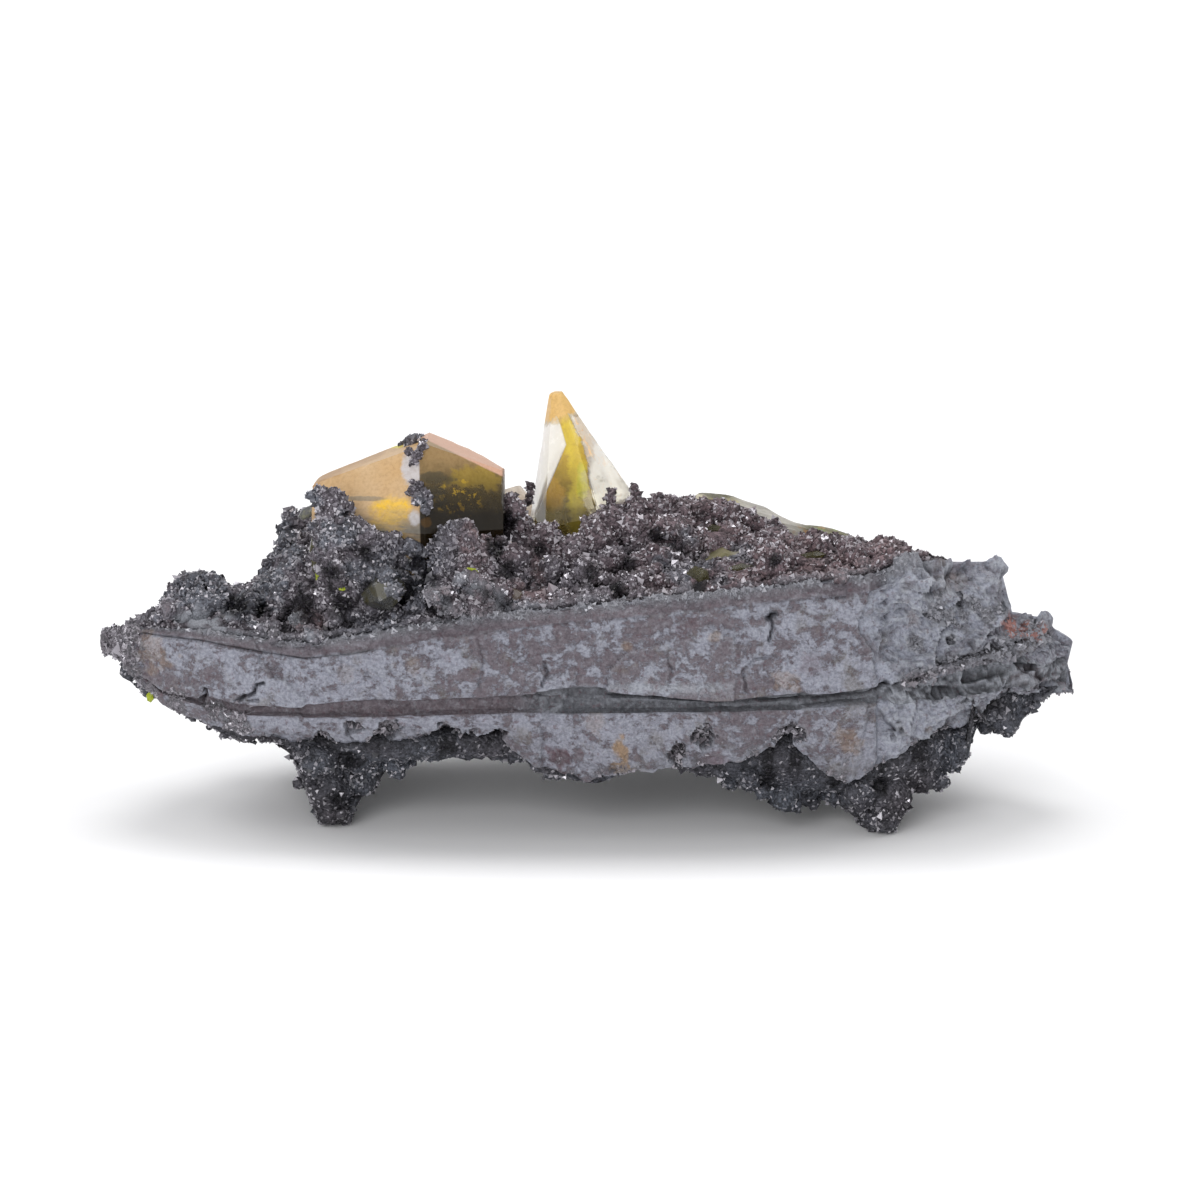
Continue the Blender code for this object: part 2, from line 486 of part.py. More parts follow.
def build():
    """Builds the whole specimen."""
    for obj in list(bpy.data.objects):
        bpy.data.objects.remove(obj, do_unlink=True)
    rock = surface("ironstone", (0.115, 0.118, 0.14), 0.62, 0.25)
    upper_skin = surface("upper_druse", (0.13, 0.105, 0.12), 0.5, 0.3)
    lower_skin = surface("lower_druse", (0.055, 0.06, 0.07), 0.45, 0.3)
    amber = surface("sturmanite", (0.62, 0.42, 0.09), 0.12, 0.0, 0.6)

    places = stations()
    finish(lofted(places, [slab_ring(x) for x in places]), "ironstone_slab", rock)

    upper_places = places[(places > -32.6) & (places < UPPER_END)]
    upper_rows = scattered(SCATTER_SEED, UPPER_SCATTER, upper_blanket, 0.25, (0.8, 1.5))
    lumps = np.concatenate([lump_rows(UPPER_LUMPS), upper_rows])
    rings = [upper_ring(x, lumps) for x in upper_places]
    upper = finish(lofted(upper_places, rings), "upper_druse", upper_skin)

    lower_places = places[(places > -31.0) & (places < 33.0)]
    lower_rows = scattered(SCATTER_SEED + 1, LOWER_SCATTER, lower_blanket, -0.25, (0.8, 1.5))
    lumps = np.concatenate([lump_rows(LOWER_LUMPS), lower_rows])
    rings = [lower_ring(x, lumps) for x in lower_places]
    finish(lofted(lower_places, rings), "lower_druse", lower_skin)

    pockets = []
    for name, form in CRYSTALS.items():
        finish(crystal_shape(crystal_planes(**form)), name, amber)
        pockets.append(cutter(crystal_shape(crystal_planes(**form, grow=CLEARANCE)), "pocket_" + name))
    carve(upper, pockets)
    for name, (middle, half_sizes) in CLUMPS.items():
        clump = finish(clump_shape(middle, half_sizes), name, upper_skin)
        carve(clump, pockets[:1])


build()
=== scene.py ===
"""Looks of a sturmanite specimen: amber crystals in a sparkling crust on a slab of banded rock.

Lengths are millimetres until a mesh is made, and MM turns them into metres. The slab's bed lines,
the crusts' lumps and the crystals' faces repeat the sizes of the solids and add the fine surface.
"""

import itertools
import logging
import math
from dataclasses import dataclass, field
from enum import Enum
from typing import Any, Callable, Optional, Sequence

import bpy
import numpy as np
from mathutils import Matrix, Vector


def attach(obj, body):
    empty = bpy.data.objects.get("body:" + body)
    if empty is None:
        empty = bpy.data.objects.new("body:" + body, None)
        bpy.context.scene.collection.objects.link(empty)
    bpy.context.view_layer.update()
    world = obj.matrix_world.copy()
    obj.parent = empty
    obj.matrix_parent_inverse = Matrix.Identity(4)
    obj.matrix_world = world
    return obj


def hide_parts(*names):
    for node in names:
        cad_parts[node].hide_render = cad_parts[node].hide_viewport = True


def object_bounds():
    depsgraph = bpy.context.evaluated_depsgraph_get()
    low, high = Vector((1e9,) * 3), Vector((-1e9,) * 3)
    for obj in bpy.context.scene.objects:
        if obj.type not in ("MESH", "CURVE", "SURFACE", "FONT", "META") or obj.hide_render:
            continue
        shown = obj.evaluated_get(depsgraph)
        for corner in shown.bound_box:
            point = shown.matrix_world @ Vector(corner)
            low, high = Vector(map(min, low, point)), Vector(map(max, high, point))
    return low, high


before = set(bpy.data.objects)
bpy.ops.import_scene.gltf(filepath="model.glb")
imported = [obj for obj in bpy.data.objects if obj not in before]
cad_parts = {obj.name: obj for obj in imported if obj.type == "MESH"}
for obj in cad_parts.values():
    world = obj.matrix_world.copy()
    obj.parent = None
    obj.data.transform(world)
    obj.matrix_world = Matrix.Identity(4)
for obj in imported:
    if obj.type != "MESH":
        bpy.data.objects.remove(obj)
CAD_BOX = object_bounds()

MM = 0.001
# The eye before the specimen: patches are placed where its sight of them meets y = 0, as x and z
EYE = (0.84, -332.2, 96.6)
log = logging.getLogger("specimen")

Array = np.ndarray
Line = Sequence[tuple[float, float]]


class Slot(Enum):
    """Material slots of the record."""

    ROCK = "ironstone"
    UPPER = "upper_druse"
    LOWER = "lower_druse"
    CRYSTAL = "sturmanite"


class Side(Enum):
    """Which way a crust faces: up from the slab's top or down from its underside."""

    UP = 1
    DOWN = -1


# Shared arithmetic


def reach(points: Line, x: Array) -> Array:
    """Values at x of the line through (x, value) points."""
    xs, values = zip(*points)
    return np.interp(x, xs, values)


def ease(value: Array) -> Array:
    """Smooth step from 0 to 1: 3 v squared less 2 v cubed, with v held between 0 and 1."""
    value = np.clip(value, 0, 1)
    return value * value * (3 - 2 * value)


def between(first: Any, last: Any, share: Any) -> Any:
    """The value this share of the way from first to last."""
    return first + (last - first) * share


def bell(value: Array, middle: float, width: float) -> Array:
    """1 at the middle, fading to both sides: e to the minus squared distance in widths."""
    return np.exp(-((value - middle) / width) ** 2)


def ripple(x: Any, y: Any, z: Any, size: float, seed: int) -> Any:
    """Smooth values from -1 to 1: five sine waves of about this size, in seeded directions."""
    rng = np.random.default_rng(seed)
    total = 0
    for _ in range(5):
        way = rng.normal(size=3)
        way *= math.tau / (size * np.linalg.norm(way) * rng.uniform(0.75, 1.35))
        start = rng.uniform(0, math.tau)
        total = total + np.sin(way[0] * x + way[1] * y + way[2] * z + start)
    return total / 3


class Grain:
    """Seeded noise on a cubic lattice that repeats every 32 cells."""

    CELLS = 32

    def __init__(self, seed: int) -> None:
        """Fills the lattice with values from -1 to 1.

        Args:
            seed: seed of the lattice's values.
        """
        self.values = np.random.default_rng(seed).uniform(-1, 1, (self.CELLS,) * 3)

    def at(self, points: Array, size: float) -> Array:
        """Noise at points: the lattice's corner values blended by an eased share along each axis.

        Args:
            points: an (n, 3) array.
            size: width of a cell.

        Returns:
            n values from -1 to 1.
        """
        place = points / size
        cell = np.floor(place).astype(np.int64)
        share = ease(place - cell)
        total = np.zeros(len(points))
        for corner in itertools.product((0, 1), repeat=3):
            weight = np.ones(len(points))
            for axis in range(3):
                weight *= share[:, axis] if corner[axis] else 1 - share[:, axis]
            index = (cell + corner) % self.CELLS
            total += weight * self.values[index[:, 0], index[:, 1], index[:, 2]]
        return total

    def layers(self, points: Array, size: float, count: int, fade: float = 0.5) -> Array:
        """Sum of noises, each of half the cell width and fade times the height of the one before.

        Args:
            points: an (n, 3) array.
            size: cell width of the first noise.
            count: how many noises.
            fade: height of each noise as a share of the one before.

        Returns:
            n values of about -1 to 1.
        """
        total, height, full = np.zeros(len(points)), 1, 0
        for number in range(count):
            total += height * self.at(points + 7.3 * number, size / 2 ** number)
            full += height
            height *= fade
        return total / full


# Meshes


@dataclass
class Shape:
    """Points and faces in millimetres, with one value per point for each named attribute."""

    points: Array
    faces: Array
    values: dict[str, Array] = field(default_factory=dict)

    def make(self, name: str, slot: Slot, material: bpy.types.Material, smooth: bool = True,
             sharp: Optional[float] = None, stands_for: Sequence[str] = ()) -> bpy.types.Object:
        """Puts the shape into the scene as a piece that rides on the specimen.

        Args:
            name: the piece's name.
            slot: the record's material slot it belongs to; not used.
            material: its material.
            smooth: whether faces are shaded smooth.
            sharp: angle in degrees past which an edge stays sharp.
            stands_for: nodes that the piece replaces.

        Returns:
            The new object.
        """
        mesh = bpy.data.meshes.new(name)
        corners = self.faces.shape[1]
        box = np.array([list(corner) for corner in CAD_BOX]) / MM
        self.points = np.clip(self.points, box[0], box[1])
        mesh.vertices.add(len(self.points))
        mesh.vertices.foreach_set("co", (self.points * MM).astype(np.float32).ravel())
        mesh.loops.add(self.faces.size)
        mesh.loops.foreach_set("vertex_index", self.faces.astype(np.int32).ravel())
        mesh.polygons.add(len(self.faces))
        starts = np.arange(0, self.faces.size, corners, dtype=np.int32)
        mesh.polygons.foreach_set("loop_start", starts)
        mesh.polygons.foreach_set("use_smooth", np.full(len(self.faces), smooth))
        mesh.update(calc_edges=True)
        mesh.validate()
        for key, value in self.values.items():
            attribute = mesh.attributes.new(key, "FLOAT", "POINT")
            attribute.data.foreach_set("value", value.astype(np.float32))
        if sharp is not None:
            mesh.set_sharp_from_angle(angle=math.radians(sharp))
        mesh.materials.append(material)
        piece = bpy.data.objects.new(name, mesh)
        bpy.context.scene.collection.objects.link(piece)
        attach(piece, "root")
        if stands_for:
            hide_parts(*stands_for)
        log.info("%s: %d triangles", name, len(self.faces) * (corners - 2))
        return piece


def joined(shapes: Sequence[Shape]) -> Shape:
    """One shape of several with the same attributes and as many corners to a face."""
    starts = np.cumsum([0] + [len(shape.points) for shape in shapes[:-1]])
    faces = [shape.faces + start for shape, start in zip(shapes, starts)]
    values = {key: np.concatenate([shape.values[key] for shape in shapes])
              for key in shapes[0].values}
    points = np.concatenate([shape.points for shape in shapes])
    return Shape(points, np.concatenate(faces), values)


def ring_faces(rows: int, count: int) -> Array:
    """Triangles of a skin through rows of count points, its ends closed about two last points."""
    i, k = np.meshgrid(np.arange(rows - 1), np.arange(count), indexing="ij")
    after = (k + 1) % count
    a, b = (i * count + k).ravel(), (i * count + after).ravel()
    c, d = ((i + 1) * count + after).ravel(), ((i + 1) * count + k).ravel()
    k = np.arange(count)
    after = (k + 1) % count
    first, last = np.full(count, rows * count), np.full(count, rows * count + 1)
    end = (rows - 1) * count
    return np.concatenate([np.column_stack(corners) for corners in (
        (a, c, b), (a, d, c), (k, after, first), (end + after, end + k, last))])


def grid_normals(grid: Array) -> Array:
    """Outward directions on a (rows, count, 3) grid of closed rings: its slopes' cross product."""
    along = np.gradient(grid, axis=0)
    around = np.roll(grid, -1, axis=1) - np.roll(grid, 1, axis=1)
    normal = np.cross(around, along)
    size = np.linalg.norm(normal, axis=2, keepdims=True)
    return normal / np.maximum(size, 1e-9)


def closed_rings(grid: Array, values: dict[str, Array]) -> Shape:
    """A closed shape from a (rows, count, 3) grid of rings, its ends closed at their middles."""
    rows, count = grid.shape[:2]
    ends = np.stack([grid[0].mean(axis=0), grid[-1].mean(axis=0)])
    points = np.concatenate([grid.reshape(-1, 3), ends])
    values = {key: np.concatenate([value.ravel(), [value[0].mean(), value[-1].mean()]])
              for key, value in values.items()}
    return Shape(points, ring_faces(rows, count), values)


# Shader building


def operator(operation: str, reflected: bool = False) -> Callable[["Value", Any], "Value"]:
    """A method that joins a value and another by a Math node, the other first if reflected."""

    def joined_value(self: "Value", other: Any) -> "Value":
        """The value of the two."""
        pair = (other, self) if reflected else (self, other)
        return self.shader.math(operation, *pair)

    return joined_value


class Value:
    """A number socket that Python's operators build maths on, where most is the larger of two."""

    def __init__(self, shader: "Shader", socket: bpy.types.NodeSocket) -> None:
        """Wraps an output socket of a shader's node."""
        self.shader, self.socket = shader, socket

    __add__ = __radd__ = operator("ADD")
    __sub__, __rsub__ = operator("SUBTRACT"), operator("SUBTRACT", True)
    __mul__ = __rmul__ = operator("MULTIPLY")
    __truediv__, __rtruediv__ = operator("DIVIDE"), operator("DIVIDE", True)
    most = operator("MAXIMUM")

    def held(self) -> "Value":
        """The value held between 0 and 1."""
        return self.above(0, 1)

    def above(self, low: float, high: float) -> "Value":
        """0 below low, 1 above high and a straight rise between."""
        node = self.shader.node("ShaderNodeMapRange", {"clamp": True},
                                {"Value": self, "From Min": low, "From Max": high})
        return Value(self.shader, node.outputs["Result"])


class Shader:
    """The nodes of one material."""

    def __init__(self, name: str) -> None:
        """Starts a material of this name with an output and no shader."""
        self.material = bpy.data.materials.new(name)
        self.material.use_nodes = True
        self.tree = self.material.node_tree
        self.tree.nodes.clear()
        self.output = self.tree.nodes.new("ShaderNodeOutputMaterial")
        self.place = self.node("ShaderNodeTexCoord").outputs["Object"]

    def node(self, kind: str, settings: Optional[dict[str, Any]] = None,
             inputs: Optional[dict[Any, Any]] = None) -> bpy.types.Node:
        """A node with its settings made first and its sockets given values or links.

        Args:
            kind: the node's type.
            settings: attributes of the node, or of its colour ramp where it has one, whose
                "stops" are (place, colour) pairs.
            inputs: values or links of its sockets, by name or number.

        Returns:
            The node.
        """
        node = self.tree.nodes.new(kind)
        owner = getattr(node, "color_ramp", node)
        for key, value in (settings or {}).items():
            if key == "stops":
                self._stops(owner, value)
            else:
                setattr(owner, key, value)
        for key, value in (inputs or {}).items():
            self.feed(node.inputs[key], value)
        return node

    def _stops(self, ramp: bpy.types.ColorRamp, stops: Sequence[tuple[float, tuple]]) -> None:
        """Gives a colour ramp its stops."""
        while len(ramp.elements) < len(stops):
            ramp.elements.new(1)
        for element, (place, colour) in zip(ramp.elements, stops):
            element.position, element.color = place, (*colour, 1)

    def feed(self, socket: bpy.types.NodeSocket, value: Any) -> None:
        """Links a socket to a value or an output, or sets its constant."""
        if isinstance(value, Value):
            self.tree.links.new(value.socket, socket)
        elif isinstance(value, bpy.types.NodeSocket):
            self.tree.links.new(value, socket)
        elif isinstance(value, tuple) and socket.type == "RGBA":
            socket.default_value = (*value, 1)
        else:
            socket.default_value = value

    def math(self, operation: str, first: Any, second: Any) -> Value:
        """A Math node on two numbers or values."""
        node = self.node("ShaderNodeMath", {"operation": operation}, {0: first, 1: second})
        return Value(self, node.outputs[0])

    def noise(self, scale: float, detail: float = 4.0, rough: float = 0.55,
              stretch: Optional[tuple] = None, warp: float = 0.0) -> Value:
        """Noise on Object coordinates.

        Args:
            scale: cells to the metre.
            detail: octaves.
            rough: height of each octave as a share of the one before.
            stretch: factors along X, Y and Z.
            warp: distortion.

        Returns:
            Values of about 0 to 1.
        """
        place = self.place
        if stretch:
            mapping = self.node("ShaderNodeMapping", None, {"Vector": place, "Scale": stretch})
            place = mapping.outputs[0]
        node = self.node("ShaderNodeTexNoise", None, {
            "Vector": place, "Scale": scale, "Detail": detail, "Roughness": rough,
            "Distortion": warp})
        return Value(self, node.outputs["Fac"])

    def cells(self, scale: float) -> tuple[Value, Value]:
        """A cell pattern: each cell's own value, and the distance to its middle."""
        node = self.node("ShaderNodeTexVoronoi", None, {"Vector": self.place, "Scale": scale})
        return self.grey(node.outputs["Color"]), Value(self, node.outputs["Distance"])

    def grey(self, colour: bpy.types.NodeSocket) -> Value:
        """The first channel of a colour."""
        return Value(self, self.node("ShaderNodeSeparateColor", None, {0: colour}).outputs[0])

    def sight(self, scale: float, detail: float) -> "Sight":
        """The eye's plane in millimetres, with noise of this scale and detail for ragged edges."""
        axes = self.node("ShaderNodeSeparateXYZ", None, {0: self.place})
        x, y, z = (Value(self, axes.outputs[number]) / MM for number in range(3))
        near = EYE[1] / (EYE[1] - y)
        return Sight((x - EYE[0]) * near + EYE[0], (z - EYE[2]) * near + EYE[2],
                     self.noise(scale, detail, 0.65) - 0.5)

    def line(self, at: Value, points: Line) -> Value:
        """The height at a place of the line through (place, height) points, from a ramp."""
        places, heights = zip(*points)
        low, high = min(heights), max(heights)
        start, run = places[0], places[-1] - places[0]
        stops = [((place - start) / run, ((height - low) / (high - low),) * 3)
                 for place, height in points]
        ramp = self.node("ShaderNodeValToRGB", {"stops": stops}, {0: (at - start) / run})
        return self.grey(ramp.outputs[0]) * (high - low) + low

    def attribute(self, name: str) -> Value:
        """A named value of the mesh."""
        node = self.node("ShaderNodeAttribute", {"attribute_name": name})
        return Value(self, node.outputs["Fac"])

    def blend(self, share: Any, first: Any, second: Any, kind: str = "MIX") -> bpy.types.NodeSocket:
        """The colour this share of the way from first to second, or to their product."""
        # Sockets 0, 6 and 7 of a Mix node are its factor and colours, and output 2 its colour
        node = self.node("ShaderNodeMix", {"data_type": "RGBA", "blend_type": kind},
                         {0: share, 6: first, 7: second})
        return node.outputs[2]

    def bump(self, height: Value, depth: float) -> bpy.types.NodeSocket:
        """A Bump node's normal for a height, deep by this many metres."""
        return self.node("ShaderNodeBump", None, {"Height": height, "Distance": depth,
                                                  "Strength": 1}).outputs[0]

    def principled(self, **inputs: Any) -> bpy.types.NodeSocket:
        """A Principled BSDF whose sockets are given by name, with _ for a space."""
        named = {key.replace("_", " "): value for key, value in inputs.items()}
        return self.node("ShaderNodeBsdfPrincipled", None, named).outputs[0]

    def mixed(self, share: Any, first: Any, second: Any) -> bpy.types.NodeSocket:
        """The shader this share of the way from first to second."""
        return self.node("ShaderNodeMixShader", None, {0: share, 1: first, 2: second}).outputs[0]

    def finish(self, surface: Any, volume: Any = None) -> bpy.types.Material:
        """Links the surface and the volume to the output and returns the material."""
        self.feed(self.output.inputs["Surface"], surface)
        if volume is not None:
            self.feed(self.output.inputs["Volume"], volume)
        return self.material


@dataclass(frozen=True)
class Sight:
    """Where the eye's sight of each point meets y = 0, and noise about 0 for ragged edges there."""

    x: Value
    z: Value
    ragged: Value

    def spot(self, x: float, z: float, wide: float, high: float, edge: float = 1.0) -> Value:
        """An ellipse: 1.25 less the squared distance in half widths, plus the noise, full at 0.7.

        Args:
            x: its middle across.
            z: its middle up.
            wide: half its width.
            high: half its height.
            edge: how far the noise moves its edge.

        Returns:
            The mask, 1 inside and 0 outside.
        """
        across, up = (self.x - x) / wide, (self.z - z) / high
        return (1.25 - (across * across + up * up) + self.ragged * edge * 3).above(0, 0.7)


@dataclass
class Paint:
    """A colour that is laid on in layers."""

    shader: Shader
    colour: Any

    def over(self, share: Any, tone: Any) -> None:
        """Covers the colour with a tone as far as share says."""
        self.colour = self.shader.blend(share, self.colour, tone)

    def tint(self, share: Any, tone: Any) -> None:
        """Multiplies the colour by a tone as far as share says."""
        self.colour = self.shader.blend(share, self.colour, tone, "MULTIPLY")


# Finishes


@dataclass(frozen=True)
class RockFinish:
    """Broken banded rock: ragged blue-grey patches over plum grey, smooth laminae and stains, with
    painted shade in recesses and painted highlights on edges.
    """

    pale: tuple = (0.385, 0.405, 0.48)
    plum: tuple = (0.175, 0.150, 0.172)
    lamina: tuple = (0.145, 0.118, 0.138)
    groove: tuple = (0.15, 0.122, 0.137)
    slate: tuple = (0.12, 0.125, 0.14)
    olive: tuple = (0.165, 0.135, 0.09)
    ochre: tuple = (0.36, 0.235, 0.13)
    maroon: tuple = (0.115, 0.05, 0.06)
    rosy: tuple = (0.42, 0.19, 0.16)
    druse: tuple = (0.12, 0.118, 0.13)
    chalk: tuple = (0.42, 0.44, 0.49)

    def material(self) -> bpy.types.Material:
        """The rock's material, from the attributes that the slab's skin carries."""
        s = Shader("banded_ironstone")
        patch = s.noise(820, 12, 0.74, (1, 1, 1.3), 0.25)
        drift = s.noise(120, 3, 0.5, (0.7, 1, 1.6))
        finger = s.noise(1300, 4, 0.6, (1, 1, 0.22))
        fine, specks = s.noise(5200, 4, 0.65), s.noise(3000, 3, 0.6)
        cover = (patch + (drift - 0.5) * 0.4 + (finger - 0.5) * 0.2).above(0.445, 0.51)
        worn, druse = s.attribute("worn"), s.attribute("druse")
        skin = Paint(s, s.blend((cover * 0.82 + worn * 0.55).held(), self.plum, self.pale))
        blots = s.noise(2600, 6, 0.7, (1, 1, 1.5))
        skin.tint(blots.above(0.5, 0.58) * 0.5, (0.66, 0.62, 0.62))
        bands = s.noise(420, 4, 0.6, (0.06, 0.06, 4))
        skin.tint(bands.above(0.45, 0.7) * 0.35, (0.72, 0.7, 0.72))
        skin.over(s.noise(420, 6, 0.6, None, 0.3).above(0.56, 0.66) * 0.4, self.olive)
        skin.over(s.attribute("lamina") * 0.92, self.lamina)
        groove = s.blend(s.attribute("slate"), self.groove, self.slate)
        skin.over(s.attribute("groove") * 0.92, groove)
        # The pale value is in part a painted highlight on convex edges
        for name, tone in (("ochre", self.ochre), ("maroon", self.maroon), ("pale", self.chalk)):
            skin.over(s.attribute(name), tone)
        skin.over(specks.above(0.6, 0.66) * 0.45, self.maroon)
        skin.over((1 - specks).above(0.64, 0.7) * 0.4, self.chalk)
        skin.tint((1 - fine).above(0.42, 0.6) * 0.6, (0.5, 0.5, 0.52))
        skin.over(s.noise(2100, 6, 0.75).above(0.52, 0.66) * 0.3, self.chalk)
        own, _ = s.cells(6500)
        skin.over(druse * 0.85, s.blend(own.above(0.2, 1), self.druse, (0.2, 0.2, 0.22)))
        skin.over(s.attribute("rosy"), self.rosy)
        # Painted shade: cracks, pits and concave hollows darkened
        skin.tint(s.attribute("recess_shade"), (0.06, 0.055, 0.06))
        rough = 0.62 - cover * 0.12 + fine * 0.1 - s.attribute("lamina") * 0.08
        height = fine * 0.4 + cover * 0.25 + s.noise(1500, 8, 0.78) * 1.5 + own * druse * 0.8
        return s.finish(s.principled(Base_Color=skin.colour, Roughness=rough, Metallic=0.1,
                                     Specular_IOR_Level=0.42, Normal=s.bump(height, 0.0002)))


@dataclass(frozen=True)
class CrustFinish:
    """Crust of tiny crystals, in a main and a cool tone with dark, rosy and bright grains, the
    bright ones painted glints.
    """

    name: str
    tone: tuple
    cool: tuple
    dark: tuple
    # Colour of the painted glints
    bright: tuple = (0.50, 0.48, 0.52)
    rosy: tuple = (0.30, 0.21, 0.22)
    bare: tuple = (0.24, 0.25, 0.28)

    def material(self, grains: bool) -> bpy.types.Material:
        """The crust's material, from the attributes cool, rosy, deep, open, bare and tone; deep is
        painted shade and open sets painted glints.

        Args:
            grains: whether it is for loose grains, which each have a tone of their own.

        Returns:
            The material.
        """
        s = Shader(self.name + ("_grains" if grains else "_mass"))
        tone, clear = s.attribute("tone"), s.attribute("open")
        patch = s.noise(500, 5, 0.65)
        skin = Paint(s, s.blend(s.attribute("cool"), self.tone, self.cool))
        skin.over(s.attribute("rosy") * patch.above(0.38, 0.6), self.rosy)
        skin.tint(patch.above(0.4, 0.62) * 0.55, (0.45, 0.42, 0.43))
        if grains:
            skin.over((0.42 - tone).above(0, 0.42) * 0.9, self.dark)
            # Painted glints: grains turned bright, more where they stand out
            skin.over(tone.above(0.3, 0.95) * (clear * 0.85 + 0.1), self.bright)
            skin.over((tone + clear * 0.06).above(0.93, 0.97), self.bright)
            rough, metal, level = 0.5 - tone.above(0.4, 1) * 0.3, tone.above(0.5, 0.9) * 0.3, 0.5
            normal = s.bump(s.noise(5200, 2, 0.5), 0.00002)
        else:
            own, middle = s.cells(5200)
            skin.over((1 - own).above(0.2, 0.9) * 0.75, self.dark)
            # Painted glints on a few cells
            skin.over(own.above(0.94, 0.97) * 0.5, self.bright)
            rough, metal, level = 0.65 - own.above(0.6, 1) * 0.25, 0, 0.25
            normal = s.bump(own * 0.5 - middle, 0.00012)
        # Painted shade: crevices where the crust crowds, and the deep spots, darkened
        skin.tint(s.attribute("deep") * 0.97, (0.055, 0.05, 0.065))
        skin.over(s.attribute("bare") * 0.85, self.bare)
        return s.finish(s.principled(Base_Color=skin.colour, Roughness=rough, Metallic=metal,
                                     Normal=normal, Specular_IOR_Level=level))


@dataclass(frozen=True)
class CrystalFinish:
    """Clear crystal with frosted and milky areas, which each kind of crystal lays out itself."""

    name: str
    body: tuple
    depth: tuple
    density: float

    def looks(self, s: Shader) -> tuple[Any, Any, Any]:
        """The frosted skin's colour, how far it covers and how far milky areas cover it."""
        raise NotImplementedError

    def material(self) -> bpy.types.Material:
        """Clear, frosted and milky surfaces over a body that takes up light."""
        s = Shader(self.name)
        colour, skin, milky = self.looks(s)
        fine = s.noise(4200, 5, 0.65)
        dust = (1 - fine).above(0.45, 0.65) * 0.35
        colour = s.blend(dust, colour, (0.62, 0.52, 0.42), "MULTIPLY")
        normal = s.bump(fine * 0.6 + s.noise(1100, 4, 0.6) * 0.5, 0.00004)
        clear = s.principled(Base_Color=self.body, Roughness=0.07, Transmission_Weight=1, IOR=1.5,
                             Normal=s.bump(s.noise(700, 3, 0.5), 0.00003))
        frosted = s.principled(Base_Color=colour, Roughness=0.36, Transmission_Weight=0.12, IOR=1.5,
                               Specular_IOR_Level=0.3, Normal=normal)
        veil = s.principled(Base_Color=(1, 0.99, 0.985), Roughness=0.3, Transmission_Weight=0.92,
                            IOR=1.04)
        volume = s.node("ShaderNodeVolumeAbsorption", None,
                        {"Color": self.depth, "Density": self.density})
        return s.finish(s.mixed(milky, s.mixed(skin, clear, frosted), veil), volume.outputs[0])


@dataclass(frozen=True)
class LargeFinish(CrystalFinish):
    """The large crystal: a tan frosted left face, and a clear golden right face, darker below."""

    edge: float = -11.62
    # Lower line of the rose strip along the top edge, in part a painted highlight
    bevel: Line = ((-12, 25.95), (-11.2, 25.6), (-5.8, 22.9), (-5, 22.5))

    def looks(self, s: Shader) -> tuple[Any, Any, Any]:
        """Colour, frosting and milkiness in the eye's plane."""
        sight = s.sight(1100, 6)
        x, z, ragged, spot = sight.x, sight.z, sight.ragged, sight.spot
        broad = s.noise(380, 4, 0.6) - 0.5
        left = (self.edge - x + ragged * 0.1).above(-0.05, 0.05)
        tan = Paint(s, (0.575, 0.37, 0.18))
        tan.over((broad * 1.6 + 0.5).above(0.2, 0.9), (0.61, 0.43, 0.25))
        brink = (z - s.line(x, LARGE_BROKEN) + ragged * 0.7).above(-0.75, -0.35)
        tan.tint(brink * 0.75, (0.62, 0.5, 0.36))
        # Painted highlight: a yellow glint along the top edge
        tan.over(spot(-13.4, 24.8, 0.8, 0.25), (0.62, 0.55, 0.05))
        # Painted glow: a vivid yellow patch with rays, where light shines through the crystal
        rays = s.noise(1700, 4, 0.7, (0.5, 0.5, 1), 0.6).above(0.4, 0.62)
        tan.over(spot(-13.5, 19.7, 1.5, 1.5) * (rays * 0.6 + 0.4), (0.86, 0.53, 0.04))
        tan.over(spot(-15.4, 21, 1.5, 0.18) * 0.7, (0.25, 0.22, 0.17))
        stripes = s.noise(2600, 3, 0.6, (0.12, 0.3, 1))
        low = (19.6 - z + ragged * 1.2).above(-0.8, 0.9)
        tan.over(low * stripes.above(0.42, 0.6), (0.16, 0.155, 0.15))
        tan.over(low * 0.55, (0.24, 0.21, 0.16))
        # Grey-white near the vertical edge
        grey_white_by_edge = spot(-12.1, 23, 0.75, 1.5).most(spot(-12, 19.6, 0.5, 0.6))
        tan.over(grey_white_by_edge * 0.85, (0.55, 0.54, 0.57))
        gold = Paint(s, (0.10, 0.07, 0.018))
        gold.over((z + ragged * 1.6).above(21.2, 24), (0.34, 0.22, 0.095))
        gold.over(spot(-7.8, 22.4, 2, 0.9, 1.6) * 0.7, (0.37, 0.25, 0.03))
        glints = s.noise(2300, 3, 0.7).above(0.55, 0.62)
        gold.over(glints * spot(-9.2, 21, 1.9, 1.3), (0.66, 0.42, 0.03))
        shade = spot(-10.4, 22.4, 1.2, 0.45, 2).most(spot(-10.6, 21.2, 0.9, 0.9))
        gold.over(shade * 0.75, (0.07, 0.06, 0.035))
        gold.over(spot(-11.2, 19.3, 0.4, 0.4), (0.6, 0.33, 0.03))
        dusk = (22.3 - z + ragged * 2.4).above(-0.3, 2.4)
        gold.tint(dusk, (0.09, 0.075, 0.045))
        # Painted highlight with the bevel's own pink: a rose strip along the top edge, lit from
        # above
        rose = (z - s.line(x, self.bevel) + ragged * 0.1).above(-0.45, -0.35)
        gold.over(rose, (0.68, 0.41, 0.29))
        cover = (rose.most((z + ragged * 2.4).above(21, 23.4)) * 0.5 + 0.42 + dusk * 0.5).held()
        cover = left * (0.97 - low * 0.25) + (1 - left) * cover
        return s.blend(left, gold.colour, tan.colour), cover, spot(-5.75, 21.6, 0.22, 1.6) * 0.7


